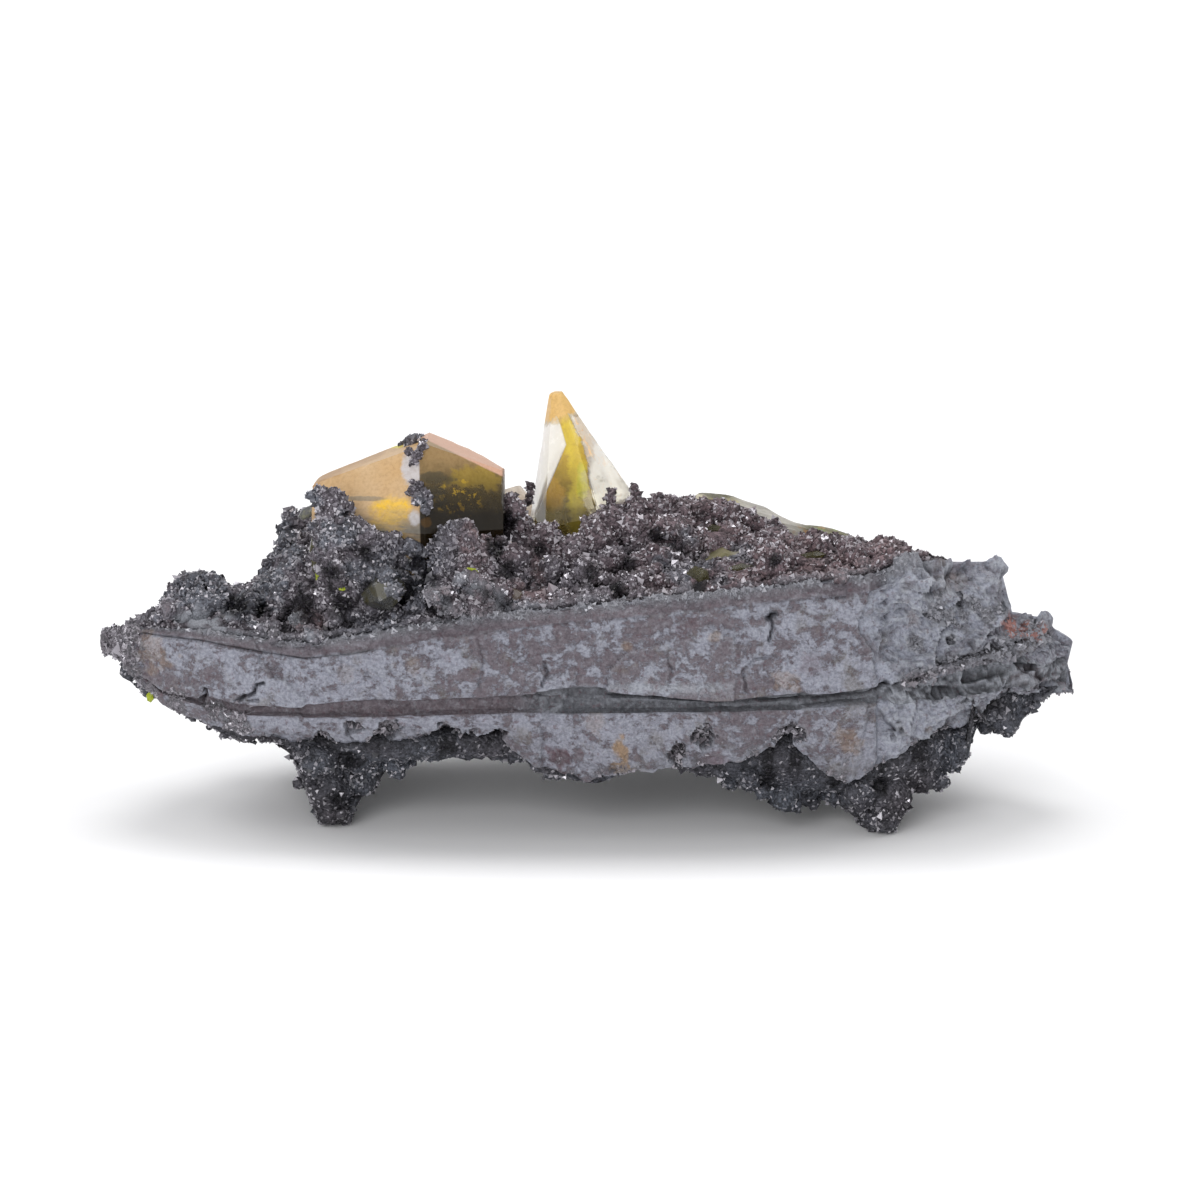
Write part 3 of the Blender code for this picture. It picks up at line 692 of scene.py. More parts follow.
@dataclass(frozen=True)
class SpireFinish(CrystalFinish):
    """The spire: an orange tip, milky sides and an amber middle with a yellow-green column."""

    # Sides of the amber middle and the column's own line, as (z, x) points
    middle_left: Line = (
        (18.5, -4), (19.1, -3.8), (20, -3.5), (21.2, -3), (23.1, -2.2), (24.8, -1.5),
        (26.2, -1.9), (27.6, -2.4))
    middle_right: Line = (
        (18.5, 1.3), (19.1, 1.1), (20.1, 0.7), (21.8, 0.15), (23.7, -0.05), (25.1, -0.4),
        (26.2, -0.95), (27.1, -1.35), (27.7, -1.5))
    column: Line = (
        (18.5, -0.75), (20.5, -0.75), (22.3, -0.7), (23.7, -0.8), (25.8, -1.35), (26.9, -1.5))

    def looks(self, s: Shader) -> tuple[Any, Any, Any]:
        """Colour, frosting and milkiness in the eye's plane."""
        sight = s.sight(1300, 5)
        x, z, ragged, spot = sight.x, sight.z, sight.ragged, sight.spot
        steps = s.noise(900, 4, 0.65, (0.6, 0.6, 1.8)) - 0.5
        broad = s.noise(700, 3, 0.6, (1, 1, 0.5)).above(0.35, 0.65)
        right_side = s.line(z, self.middle_right)
        inner = ((x - s.line(z, self.middle_left)).above(-0.03, 0.05)
                 * (right_side - x + ragged * 0.7).above(-0.05, 0.1))
        tip = (z + ragged * 1.6 - x * 0.35).above(27, 27.5)
        away = x - s.line(z, self.column) + steps * 2.2
        column = (0.42 - away * away).above(0, 0.34) * inner * (0.8 - broad * 0.5)
        amber = spot(-2.4, 21.2, 0.8, 1.2)
        skin = Paint(s, (0.11, 0.068, 0.006))
        skin.over((z + ragged * 1.5).above(20.8, 24.2), (0.66, 0.44, 0.05))
        # Painted glint: an amber spot low in the amber middle
        skin.over(amber * 0.6, (0.45, 0.25, 0.025))
        skin.over(column * 0.9, (0.72, 0.57, 0.035))
        skin.over(spot(-0.4, 22, 0.4, 1.3, 1.5) * inner * 0.6, (0.42, 0.42, 0.02))
        skin.over((21.2 - z + ragged * 1.6).above(0, 1.4) * 0.8, (0.10, 0.075, 0.012))
        skin.over(tip, (0.74, 0.48, 0.17))
        veins = s.noise(1500, 5, 0.7, (1, 1, 0.6), 0.8).above(0.54, 0.62)
        outer = (1 - inner) * (1 - tip)
        right = (x - right_side).above(-0.1, 0.1)
        skin.over(outer, s.blend(veins * right * 0.5, (0.97, 0.95, 0.96), (0.82, 0.60, 0.36)))
        streaks = spot(-0.4, 25.2, 0.8, 2.2) * right * (veins * 0.6 + 0.35)
        skin.over(streaks * outer, (0.9, 0.6, 0.3))
        specks = s.noise(2100, 2, 0.5).above(0.64, 0.67)
        skin.over(specks * right * spot(1.4, 22.6, 1, 1.6), (0.08, 0.065, 0.05))
        cover = (tip * 0.96).most(inner * (0.7 + column * 0.28 + amber * 0.2))
        cover = cover.most(outer * (0.6 + veins * 0.3)).most(streaks * outer * 1.1)
        milky = outer * (0.72 - veins * right * 0.35) - streaks * 1.3
        return skin.colour, cover.held(), milky.held()


@dataclass(frozen=True)
class RidgeFinish(CrystalFinish):
    """The low crystals: dull olive skin, pale on the long slope, yellow near the peak."""

    def looks(self, s: Shader) -> tuple[Any, Any, Any]:
        """Colour, frosting and milkiness in the eye's plane."""
        sight = s.sight(1200, 6)
        x, ragged, spot = sight.x, sight.ragged, sight.spot
        broad = s.noise(450, 4, 0.6)
        skin = Paint(s, s.blend(broad.above(0.4, 0.6), (0.13, 0.12, 0.055), (0.24, 0.22, 0.12)))
        slope = (x + ragged * 1.4).above(9.6, 10.8) * (15.6 - x + ragged * 3).above(0, 1.2)
        skin.over(slope * 0.85, (0.57, 0.545, 0.5))
        skin.over(spot(9, 20.65, 1.4, 0.35) * 0.85, (0.50, 0.42, 0.09))
        skin.over(spot(7.6, 21.1, 0.6, 0.3), (0.62, 0.57, 0.42))
        skin.over(spot(9.2, 21.25, 0.9, 0.25) * 0.9, (0.10, 0.09, 0.04))
        green = s.noise(1300, 3, 0.6).above(0.5, 0.58) * (x + ragged * 2).above(14.6, 16)
        skin.over(green * 0.8, (0.20, 0.26, 0.05))
        rust = s.noise(1700, 3, 0.6, (1, 1, 1.4)).above(0.58, 0.63)
        skin.over(rust * (x + ragged * 2).above(14, 15.6), (0.48, 0.24, 0.08))
        cover = (broad.above(0.3, 0.6) * 0.3 + 0.62).held()
        return skin.colour, cover, ragged.above(0.16, 0.3) * 0.25


@dataclass(frozen=True)
class CreamFinish(CrystalFinish):
    """A small cream crystal behind the others."""

    def looks(self, s: Shader) -> tuple[Any, Any, Any]:
        """An even frosted skin."""
        share = s.noise(700, 4, 0.6).above(0.4, 0.6)
        return s.blend(share, (0.74, 0.60, 0.46), (0.80, 0.72, 0.62)), 0.85, 0.3


@dataclass(frozen=True)
class SmokyFinish(CrystalFinish):
    """A small grey crystal with an olive heart, half sunk in the crust."""

    def looks(self, s: Shader) -> tuple[Any, Any, Any]:
        """Grey frosting over olive."""
        veil = s.noise(900, 5, 0.65)
        colour = s.blend(veil.above(0.4, 0.6), (0.105, 0.108, 0.112), (0.05, 0.045, 0.02))
        return colour, veil.above(0.3, 0.6) * 0.4 + 0.4, 0


class Kind(Enum):
    """Colours of the tiny crystals that show in the crust, by their place on a ramp."""

    OLIVE = 0.05
    LIME = 0.25
    AMBER = 0.45
    GREY = 0.65
    BROWN = 0.85


@dataclass(frozen=True)
class ChipFinish(CrystalFinish):
    """The tiny crystals in the crust, each with the colour of its kind."""

    colours: tuple = (
        (0, (0.055, 0.048, 0.012)), (0.15, (0.42, 0.5, 0.015)), (0.35, (0.46, 0.2, 0.03)),
        (0.55, (0.15, 0.155, 0.165)), (0.75, (0.12, 0.09, 0.075)))

    def looks(self, s: Shader) -> tuple[Any, Any, Any]:
        """Colour by the attribute kind."""
        ramp = s.node("ShaderNodeValToRGB", {"stops": self.colours, "interpolation": "CONSTANT"},
                      {0: s.attribute("kind")})
        ragged = s.noise(1500, 4, 0.6)
        share = ragged.above(0.45, 0.6) * 0.6
        colour = s.blend(share, ramp.outputs[0], (0.35, 0.33, 0.3), "MULTIPLY")
        return colour, (ragged.above(0.3, 0.7) * 0.3 + 0.6).held(), 0


# The slab


@dataclass
class SlabForm:
    """Bed lines, plan and cross-sections of the slab, shared by the rock and both crusts."""

    half_length: float = 33.4
    clearance: float = 0.3
    top_fall: Line = ((-33.4, 0.132), (17, 0.132), (22.5, 0.285), (33.4, 0.285))
    buried_floor: float = 1.1
    front_plan: Line = (
        (-33.4, -5), (-31, -7.6), (-28.8, -9.6), (-26, -11.5), (-22.6, -12.8), (-18.5, -13.6),
        (-12.5, -14), (14.2, -14), (18.9, -13.6), (23, -12.5), (27.8, -10), (30.8, -7.2),
        (33.4, -4.2))
    back_plan: Line = (
        (-33.4, -4), (-31, -1), (-28, 2.6), (-24, 6.4), (-20, 9), (-14, 11.2), (-8, 13.4),
        (0, 13.8), (6, 13.4), (11, 13.6), (16, 11.4), (20, 10.2), (25, 6.6), (28, 3.6), (31, 0.6),
        (33.4, -1.6))
    top_edge: Line = (
        (-33.4, 12.6), (-30, 13.8), (-26, 14.3), (-19, 14), (-6, 16.1), (7.5, 17.4), (18.2, 18.6),
        (21.2, 19.6), (27.8, 18.7), (28.8, 15), (31.2, 14), (33.4, 11.6))
    top_bed: Line = (
        (-33.4, 0.05), (-26, 0.4), (-18, 0.9), (14, 0.8), (21, 1.2), (27.8, 1.8), (28.8, 0.6),
        (33.4, 0.2))
    main_foot: Line = (
        (-33.4, 12.4), (-31.2, 11.4), (-29, 10), (-22.7, 9.6), (-12.5, 10.3), (0.8, 11.1),
        (4, 10.8), (9, 10.5), (18.9, 11), (27.9, 11.8), (33.4, 10.7))
    lower_top: Line = (
        (-33.4, 12.2), (-31.2, 11), (-29, 9.5), (-22.7, 8.9), (-5.9, 9.4), (10.2, 9.5), (18.9, 9.9),
        (27.9, 9.9), (33.4, 8.9))
    lower_edge: Line = (
        (-33.4, 11.9), (-31.3, 10.6), (-29.1, 8.7), (-26.2, 7.9), (-19.4, 6.8), (-9.2, 7.5),
        (-5.9, 7.3), (-3.2, 5.4), (0.2, 4.3), (3.5, 5.4), (10.3, 5.8), (13.6, 7.3), (16.3, 4.8),
        (18.4, 4.4), (21.1, 6.2), (24.5, 7.4), (28, 9), (33.4, 8.1))
    underside: Line = (
        (-33.4, 11.9), (-29, 9.2), (-20, 7.8), (0, 7.4), (20, 7.8), (28, 9.2), (33.4, 8.5))
    crust_foot: Line = (
        (-33.4, 11), (-30, 8.2), (-24.3, 6), (-22, 6.2), (-12.7, 4.6), (-3.9, 5.1), (0.8, 3.4),
        (5, 4.5), (9.7, 3.2), (13.1, 2.4), (20, 2.6), (26.1, 4.7), (26.7, 7), (29.7, 5.6),
        (33.4, 7.3))
    # The outline that the eye sees, above and below
    crest: Line = (
        (-33.8, 11.2), (-31.5, 12), (-30.4, 12.4), (-29.4, 14.1), (-28.3, 15.8), (-26.2, 16),
        (-24.1, 14.6), (-23.1, 15.2), (-22, 15.9), (-21.1, 19.7), (-19.9, 20.7), (-18.8, 22.3),
        (-17, 21.7), (-16, 20.2), (-14.5, 18.8), (-13, 18.8), (-11.3, 19.5), (-7.9, 19.8),
        (-6.4, 19.5), (-5.9, 21.6), (-4.7, 21.6), (-3.7, 20.9), (-1.9, 19.8), (2.9, 21.5),
        (7.7, 21.4), (10.5, 20.5), (14.7, 18.9), (18.5, 18.3), (19.5, 17.8), (20.6, 18.4),
        (22.7, 17.3), (24.7, 16.7), (28.6, 16.5))
    hem: Line = (
        (-34, 10.8), (-33, 10), (-31.3, 8), (-31.1, 6.5), (-29.6, 6.4), (-27.9, 5.6), (-25.7, 3.9),
        (-24.2, 3.3), (-21.2, 3), (-20.5, 1.8), (-19.5, -0.7), (-19.1, -2.7), (-16.7, -2.7),
        (-16.4, -1), (-15.4, -0.9), (-14.5, 0.4), (-12.5, 1.4), (-6.9, 1.3), (-5.1, 1.9),
        (-3.6, 1.1), (-0.7, 0.4), (0.8, 0.3), (3.7, 1.6), (5.9, 1.3), (8.5, 0.4), (11.3, -0.6),
        (13.2, -1.6), (17.8, -2.3), (18.4, -2.2), (19.2, -3.4), (21.6, -3.4), (22, -2),
        (23.5, -1.1), (24.3, 0.2), (26, 1.4), (26.7, 2.2), (26.8, 6.4), (27.3, 5.3), (28.5, 4),
        (29.9, 3.9), (30.4, 5.1), (32, 6.6), (33.9, 8.2))
    top_edge_back: float = 0.9
    bed_edge_back: float = 0.15
    groove_depth: float = 0.7
    lower_edge_back: float = 1.0
    top_rows: tuple = (0.0, 0.14, 0.34, 0.56, 0.78, 1.0)
    under_rows: tuple = (0.0, 0.15, 0.4, 0.7, 1.0)
    # Corners up the back: how far out, and their share of the way up
    back_rows: tuple = ((0.5, 0.16), (0.2, 0.34), (-0.4, 0.42), (0.5, 0.52), (0.7, 0.8))

    def outlined(self, outline: Line, x: Any, y: Any) -> Any:
        """Height at (x, y) that the eye sees on this outline."""
        near = EYE[1] / (EYE[1] - y)
        return EYE[2] + (reach(outline, EYE[0] + (x - EYE[0]) * near) - EYE[2]) / near

    def seen(self, points: Array) -> tuple[Array, Array]:
        """Where the eye's sight of each point meets y = 0, as x and z."""
        x, y, z = points.T
        near = EYE[1] / (EYE[1] - y)
        return EYE[0] + (x - EYE[0]) * near, EYE[2] + (z - EYE[2]) * near

    def depth(self, x: Array) -> tuple[Array, Array]:
        """Front and back of the slab's top at x."""
        return reach(self.front_plan, x) + self.top_edge_back, reach(self.back_plan, x) - 0.5

    def top(self, x: Array, share: Array) -> Array:
        """Height of the top this share of the way to the back: an even fall with low swells."""
        front, back = self.depth(x)
        depth = (back - front) * share
        swell = 0.2 * np.sin(math.pi * share) * ripple(x, depth, 0, 13, 3)
        return reach(self.top_edge, x) - reach(self.top_fall, x) * depth + swell

    def share(self, x: Any, y: Any) -> Any:
        """How far a place in plan lies from the top's front, at 0, to its back, at 1."""
        front, back = self.depth(x)
        return (y - front) / (back - front)

    def top_at(self, x: Any, y: Any) -> Any:
        """Height of the slab's top at a place in plan."""
        return self.top(x, self.share(x, y))

    def under(self, x: Array, share: Array) -> Array:
        """Height of the slab's underside: its front lip blends into the level inside."""
        settled = ease(share / self.under_rows[1])
        level = reach(self.lower_edge, x) * (1 - settled) + reach(self.underside, x) * settled
        return level + 0.25 * settled * (1 - share) * ripple(x, share * 20, 0, 9, 4)

    def rings(self, x: Array) -> Array:
        """Cross-sections at x, each 24 (y, z) corners: top, front down, underside and back up."""
        edge = reach(self.front_plan, x)
        front, back = self.depth(x)
        rough = ease((x - 17) / 5) * ease((self.half_length - x) / 2)
        scale = ease((self.half_length - np.abs(x)) / 3)
        least = np.maximum(scale, 0.2)
        top, main_foot = reach(self.top_edge, x), reach(self.main_foot, x)
        lower_top, lower = reach(self.lower_top, x), reach(self.lower_edge, x)
        bed = top - reach(self.top_bed, x)
        points = [(between(front, back, share), self.top(x, share))
                  for share in self.top_rows[::-1]]
        rows = (
            (self.bed_edge_back, bed), (0, between(bed, main_foot, 0.28)),
            (-0.1, between(bed, main_foot, 0.62)), (0, main_foot),
            (self.groove_depth, between(main_foot, lower_top, 0.2)),
            (self.groove_depth, between(main_foot, lower_top, 0.85)),
            (self.bed_edge_back, lower_top), (0.35, between(lower_top, lower, 0.5)))
        for number, (setback, level) in enumerate(rows):
            chip = 0.16 * ripple(x, number * 3, 0, 5, 5)
            chip = chip + 0.75 * rough * ripple(x, number * 2.1, 0, 4.2, 6)
            points.append((edge + setback * least + scale * chip, level))
        start = edge + self.lower_edge_back * least
        run = back + 0.2 - edge - self.lower_edge_back
        points += [(start + run * share, self.under(x, share)) for share in self.under_rows]
        low, high = self.under(x, 1), self.top(x, 1)
        for number, (out, share) in enumerate(self.back_rows):
            chip = 0.5 * ripple(x, 40 + number * 2.6, 0, 5, 8)
            points.append((back + scale * (out + chip), between(low, high, share)))
        return np.stack([np.stack(point, axis=-1) for point in points], axis=1)


@dataclass(frozen=True)
class Spot:
    """A ragged disc where the eye's sight meets y = 0: its middle, radius and strength."""

    x: float
    z: float
    radius: float
    strength: float = 1.0


def spots(*rows: tuple) -> tuple[Spot, ...]:
    """Spots from their rows of numbers."""
    return tuple(Spot(*row) for row in rows)


def discs(form: SlabForm, points: Array, ragged: Any, group: Sequence[Spot]) -> Array:
    """How far points lie in the spots as the eye sees them.

    Args:
        form: the slab's form.
        points: an (n, 3) array.
        ragged: n values, or one, that move the spots' edges.
        group: the spots.

    Returns:
        n values from 0 to 1.
    """
    x, z = form.seen(points)
    total = np.zeros(len(points))
    for spot in group:
        away = np.hypot(x - spot.x, z - spot.z) / spot.radius
        total = np.maximum(total, spot.strength * ease((1.15 + 1.5 * ragged - away) / 0.45))
    return total


OCHRE_SPOTS = spots(
    (2.4, 2.4, 0.95, 0.9), (8.9, 11.1, 0.5, 0.4), (13.7, 8, 0.8, 0.3), (18.1, 3.7, 0.9, 0.35),
    (2.7, 10.5, 0.4, 0.35), (-30.5, 9.9, 1.4, 0.3), (-12.5, 9.2, 0.8, 0.2), (-16.9, 8.6, 0.6, 0.15),
    (0.5, 4.7, 0.7, 0.2), (25, 15.2, 1, 0.25), (22.6, 12.7, 0.6, 0.2), (23.8, 4.4, 0.3, 0.3))
MAROON_SPOTS = spots(
    (-2, 2.4, 0.9, 0.8), (-2.1, 1, 0.7, 0.7), (9, 1.8, 1, 0.6), (10.4, 0.6, 0.8, 0.5),
    (6.7, 11.8, 0.9, 0.3), (15.7, 9.1, 0.9, 0.3), (-9.9, 9.8, 0.5, 0.25), (31, 8.4, 1, 0.4))
ROSY_SPOTS = spots((29.4, 11.9, 0.7, 0.9), (31.4, 11.6, 0.6, 0.8), (30.4, 11.6, 0.5, 0.8))
ROCK_DRUSE = spots(
    (24.2, 12.7, 0.9), (26, 12.3, 0.7), (27.7, 12.5, 0.7), (26.7, 13.6, 0.5), (22.8, 10.6, 0.5),
    (28.9, 11, 0.5), (-24.4, 4.5, 1.2), (-26.2, 5.7, 0.8), (-28.8, 6.4, 0.8), (-30.6, 7.3, 0.6),
    (28.6, 13.1, 0.5), (30.6, 12.1, 1.2, 0.7))
PITS = spots(
    (-18.7, 3.3, 0.7), (-16.3, 4.2, 0.6), (-14.3, 4, 0.8), (-10.1, 3.6, 0.8), (-8.2, 3.5, 0.6),
    (-6.6, 3.5, 0.7), (8, 3.8, 0.75), (6.3, 2.6, 0.6), (14.5, 4.2, 0.6), (13.6, 3.3, 0.7),
    (23.8, 12.7, 0.4), (26, 13.4, 0.3), (25.5, 10.9, 0.3))


@dataclass(frozen=True)
class Mark:
    """One of the cracks, or an edge, on the broken front: a line of (x, z) points with a width and
    a depth.
    """

    line: Line
    width: float
    depth: float

    def near(self, x: Array, z: Array) -> Array:
        """How near points are to the line: a bell over the distance to its nearest segment."""
        least = np.full(x.shape, 1e9)
        for (x0, z0), (x1, z1) in zip(self.line, self.line[1:]):
            dx, dz = x1 - x0, z1 - z0
            share = np.clip(((x - x0) * dx + (z - z0) * dz) / (dx * dx + dz * dz), 0, 1)
            least = np.minimum(least, np.hypot(x - x0 - share * dx, z - z0 - share * dz))
        return bell(least, 0, self.width)


@dataclass(frozen=True)
class Plates:
    """Broken facets in a box of the rock: how many, how steep and how far in or out."""

    low: tuple
    high: tuple
    count: int
    tilt: float
    lift: float
    seed: int

    def height(self, flat: Array) -> Array:
        """Height of each point: that of the tilted plane of its nearest seeded centre."""
        rng = np.random.default_rng(self.seed)
        middles = rng.uniform(self.low, self.high, (self.count, 3))
        tilts = rng.normal(0, self.tilt, (self.count, 3))
        lifts = rng.uniform(-self.lift, self.lift, self.count)
        best, height = np.full(len(flat), 1e9), np.zeros(len(flat))
        for middle, tilt, lift in zip(middles, tilts, lifts):
            away = flat - middle
            distance = np.einsum("ij,ij->i", away * (1, 1, 1.3), away)
            nearer = distance < best
            best = np.where(nearer, distance, best)
            height = np.where(nearer, lift + away @ tilt, height)
        return np.clip(height, -2.5 * self.lift, 2.5 * self.lift)


def softened(height: Array) -> Array:
    """The mean of each value of a grid, counted twice, and its four neighbours."""
    return (2 * height + np.roll(height, 1, 0) + np.roll(height, -1, 0) + np.roll(height, 1, 1)
            + np.roll(height, -1, 1)) / 6


@dataclass(frozen=True)
class Masks:
    """Values over the grid of the rock's skin."""

    # Place round the section, noise about 0, and millimetres to the right of the break
    where: Array
    ragged: Array
    past: Array
    # How far each point belongs to the front, the top bed, the groove, painted recess shade, a pit,
    # the plate
    front: Array
    lamina: Array
    groove: Array
    recess_shade: Array
    pit: Array
    plate: Array


@dataclass
class Slab:
    """The rock itself, with its fine broken surface."""

    form: SlabForm
    finish: RockFinish = RockFinish()
    rows: int = 540
    # Degrees past which its edges stay sharp
    sharp: float = 40.0
    # Points between the corners of a cross-section, from the top's back edge round
    stretches: tuple = (2, 2, 2, 2, 3, 8, 12, 15, 15, 5, 5, 5, 11, 11, 2, 2, 2, 2, 4, 6, 5, 5, 6, 4)
    cracks: tuple = (
        Mark(((-26, 9.5), (-25.85, 9.9), (-25.9, 10.3)), 0.16, 0.7),
        Mark(((-23.6, 9.8), (-23.1, 10.2)), 0.12, 0.6),
        Mark(((-22.9, 10.2), (-22.4, 10.5), (-22.2, 11.1), (-21.7, 11.3)), 0.09, 0.5),
        Mark(((-22.9, 9.9), (-22.2, 10)), 0.08, 0.3),
        Mark(((-22.1, 12.6), (-22, 13.3), (-22.2, 13.9)), 0.09, 0.16),
        Mark(((-16.5, 12.2), (-16.3, 13.6)), 0.09, 0.12),
        Mark(((-7.2, 11.2), (-7, 12.9), (-7.3, 14.6)), 0.1, 0.14),
        Mark(((-3.1, 11.3), (-2.7, 12.2), (-2.9, 12.9)), 0.09, 0.3),
        Mark(((5.4, 11), (5.6, 12.4), (5.3, 13.8)), 0.1, 0.2),
        Mark(((10.6, 11), (10.4, 12.4), (11.2, 13.2), (12.6, 13.4)), 0.1, 0.22),
        Mark(((12.1, 14.4), (12.3, 15.3), (12.25, 16.3)), 0.09, 0.4),
        Mark(((12.1, 16), (12.5, 16.3)), 0.16, 0.6),
        Mark(((-4.2, 10.55), (-2.4, 10.9), (0.8, 11.05)), 0.12, 0.7),
        Mark(((0.8, 10.6), (4, 10.4), (9, 10.2), (14, 10.2)), 0.1, 0.4),
        Mark(((14.2, 10.3), (18.6, 10.6), (19.6, 10.9)), 0.1, 0.5),
        Mark(((19.4, 10.7), (20.1, 11.2)), 0.18, 0.7),
        Mark(((20.6, 11), (24.5, 12.5), (28.4, 12.7), (32, 13.2)), 0.16, 0.6),
    )
    # Top of the raised plate at the right of the middle, and its right end
    plate_top: Line = (
        (1.2, 10.9), (1.5, 12.6), (2.6, 13.8), (4.6, 14.4), (7.5, 14.9), (10.4, 15.1))
    plate_end: float = 9.9
    # Where the face is broken back at the right, as (z, x) points
    break_line: Line = ((11.4, 19.4), (13.4, 19), (15.2, 18), (17, 18.5), (18.5, 18.9))
    seam: Mark = Mark(((20.8, 11.3), (24.5, 12.2), (28.5, 12.5), (33, 13.2)), 0.55, 0.3)
    large_plates: Plates = Plates((-34, -15, 4), (18, 15, 20), 170, 0.035, 0.09, 15)
    end_plates: Plates = Plates((15, -15, 4), (34, 3, 20), 260, 0.22, 0.22, 16)
    back_plates: Plates = Plates((-34, 0, 4), (34, 15, 20), 240, 0.16, 0.3, 17)
    seed: int = 5

    def __post_init__(self) -> None:
        """Prepares the noise."""
        self.grain = Grain(self.seed)

    def _sections(self) -> tuple[Array, Array]:
        """Cross-sections with the stretches between their corners filled in.

        Returns:
            The grid of points, and each point's place round its section. Corners 0 to 5 are the
            top's from back to front, 6 the top bed's edge, 9 the main face's foot, 10 and 11 the
            groove, 12 and 13 the lower bed, 14 to 18 the underside and 19 to 23 the back.
        """
        form = self.form
        x = np.linspace(-form.half_length, form.half_length, self.rows)
        rings = form.rings(x)
        corners, columns, places = rings.shape[1], [], []
        for corner, count in zip(range(corners), self.stretches):
            first, last = rings[:, corner], rings[:, (corner + 1) % corners]
            for step in range(count):
                columns.append(between(first, last, step / count))
                places.append(corner + step / count)
        ring = np.stack(columns, axis=1)
        along = np.broadcast_to(x[:, None, None], ring.shape[:2] + (1,))
        where = np.broadcast_to(np.array(places), ring.shape[:2])
        return np.concatenate([along, ring], axis=2), where

    def build(self) -> Shape:
        """The rock's skin: each point of the cross-sections is moved along its own direction by the
        broken beds, facets, cracks, pits and grain.

        Returns:
            The closed shape with its stains, painted shade, painted highlights and druse, where
            small crystals grow.
        """
        grid, where = self._sections()
        shape, flat = grid.shape[:2], grid.reshape(-1, 3)
        gx, gz = grid[..., 0], grid[..., 2]

        def noise(stretch: Any, offset: float, size: float, count: int = 3,
                  fade: float = 0.5) -> Array:
            """Layered noise over the grid, from its stretched and offset points."""
            return self.grain.layers(flat * stretch + offset, size, count, fade).reshape(shape)

        fine, broad = noise((0.6, 1, 1.3), 0, 0.6, 3, 0.7), noise((0.4, 1, 1), 40, 3.4)
        beds, ragged = noise((0.04, 0.1, 1), 80, 0.5, 2, 0.7), noise(1, 17, 0.8, 3, 0.7)
        front = ease((where - 4.9) / 0.5) * ease((14.6 - where) / 0.6)
        main = ease((where - 6) / 0.2) * ease((9.1 - where) / 0.2)
        back = ease((where - 18) / 0.6)
        past = gx - reach(self.break_line, gz) + 0.3 * ragged
        rough_end = ease(past / 1.6)
        lamina = ease((where - 5) / 0.2) * ease((6.08 + 0.12 * ragged - where) / 0.1)
        lamina = lamina * ease((1.5 - past) / 1.2)
        groove = ease((where - 9) / 0.2) * ease((12.1 - where) / 0.2)
        height = (0.10 * fine + 0.12 * broad) * (front + back) + 0.03 * fine
        height = height + 0.06 * beds * (front * ease((gx + 6) / 4) + 2 * back)
        bends = [self.grain.layers(flat + 5 * k, 1.1, 3, 0.65) for k in (1, 2, 3)]
        bent = flat + 0.5 * np.stack(bends, axis=-1)
        large, rear = (softened(plates.height(bent).reshape(shape))
                       for plates in (self.large_plates, self.back_plates))
        end = self.end_plates.height(between(flat, bent, 0.35)).reshape(shape)
        height = height + large * front * (1 - rough_end) * (1 - lamina) + rear * back
        end = end + 0.3 * fine + 0.22 * noise(1, 61, 0.42, 2, 0.8)
        height = height + end * rough_end * (where > 4.9) * (1 - back)
        height = height - 0.12 * bell(where, 6.1, 0.1) * ease((-17 - gx) / 2)
        height = height - 0.3 * ease(past / 0.15) * front
        # Painted shade in the cracks, darker the deeper they are
        recess_shade = np.zeros(shape)
        for mark in self.cracks:
            near = mark.near(gx + 0.1 * ragged + 0.14 * fine, gz + 0.12 * fine) * front
            height = height - mark.depth * near
            recess_shade = np.maximum(recess_shade, near ** 1.4 * min(1, 1.7 * mark.depth))
        # Painted shade in the recess along the foot of the top bed
        under_bed = 0.3 + 0.5 * ease((-12 - gx) / 4) + 0.3 * ragged
        recess_shade = np.maximum(recess_shade, bell(where, 6.08, 0.07) * under_bed)
        plate = ease((reach(self.plate_top, gx) + 0.25 * ragged - gz) / 0.22)
        plate = plate * ease((gx - 1.2) / 0.2)
        plate = plate * ease((self.plate_end + 0.3 * ragged - gx) / 0.16) * main
        height = height + 0.32 * plate
        height = height + 0.3 * (plate * bell(gz, 11.1, 0.4))
        pit = discs(self.form, flat, ragged.ravel(), PITS).reshape(shape) * front
        height = height - 0.9 * pit
        height = height + (0.3 * ragged + 0.2 * fine) * bell(where, 5, 0.4) * (1 - rough_end)
        height = height + (0.7 * ragged + 0.3 * fine) * ease((-29.4 - gx) / 1.5)
        convex = height - softened(softened(softened(height)))
        grid = grid + grid_normals(grid) * height[..., None]
        grid[..., 0] -= (0.5 + 1.3 * noise((0, 1, 1), 3, 1.6)) * ease((gx - 31.3) / 1.8)
        lower = bell(where, 13.9, 0.7) * ease((self.form.half_length - 1.5 - np.abs(gx)) / 2)
        grid[..., 2] += (0.5 * noise((1, 0, 0), 11, 1.5) + 0.25 * ragged) * lower
        masks = Masks(where, ragged, past, front, lamina, groove, recess_shade, pit, plate)
        values = self._values(grid, masks)
        # Painted highlight on convex edges and painted shade in concave hollows, strongest at the
        # broken right end
        edges = (0.35 + 0.65 * rough_end) * (where > 5)
        edge_highlight_and_shade = {"pale": 0.8 * ease(convex / 0.06), "recess_shade": 0.6 * ease(-convex / 0.14 - 0.2)}
        for name, value in edge_highlight_and_shade.items():
            values[name] = np.maximum(values[name], value * edges)
        return closed_rings(grid, values)

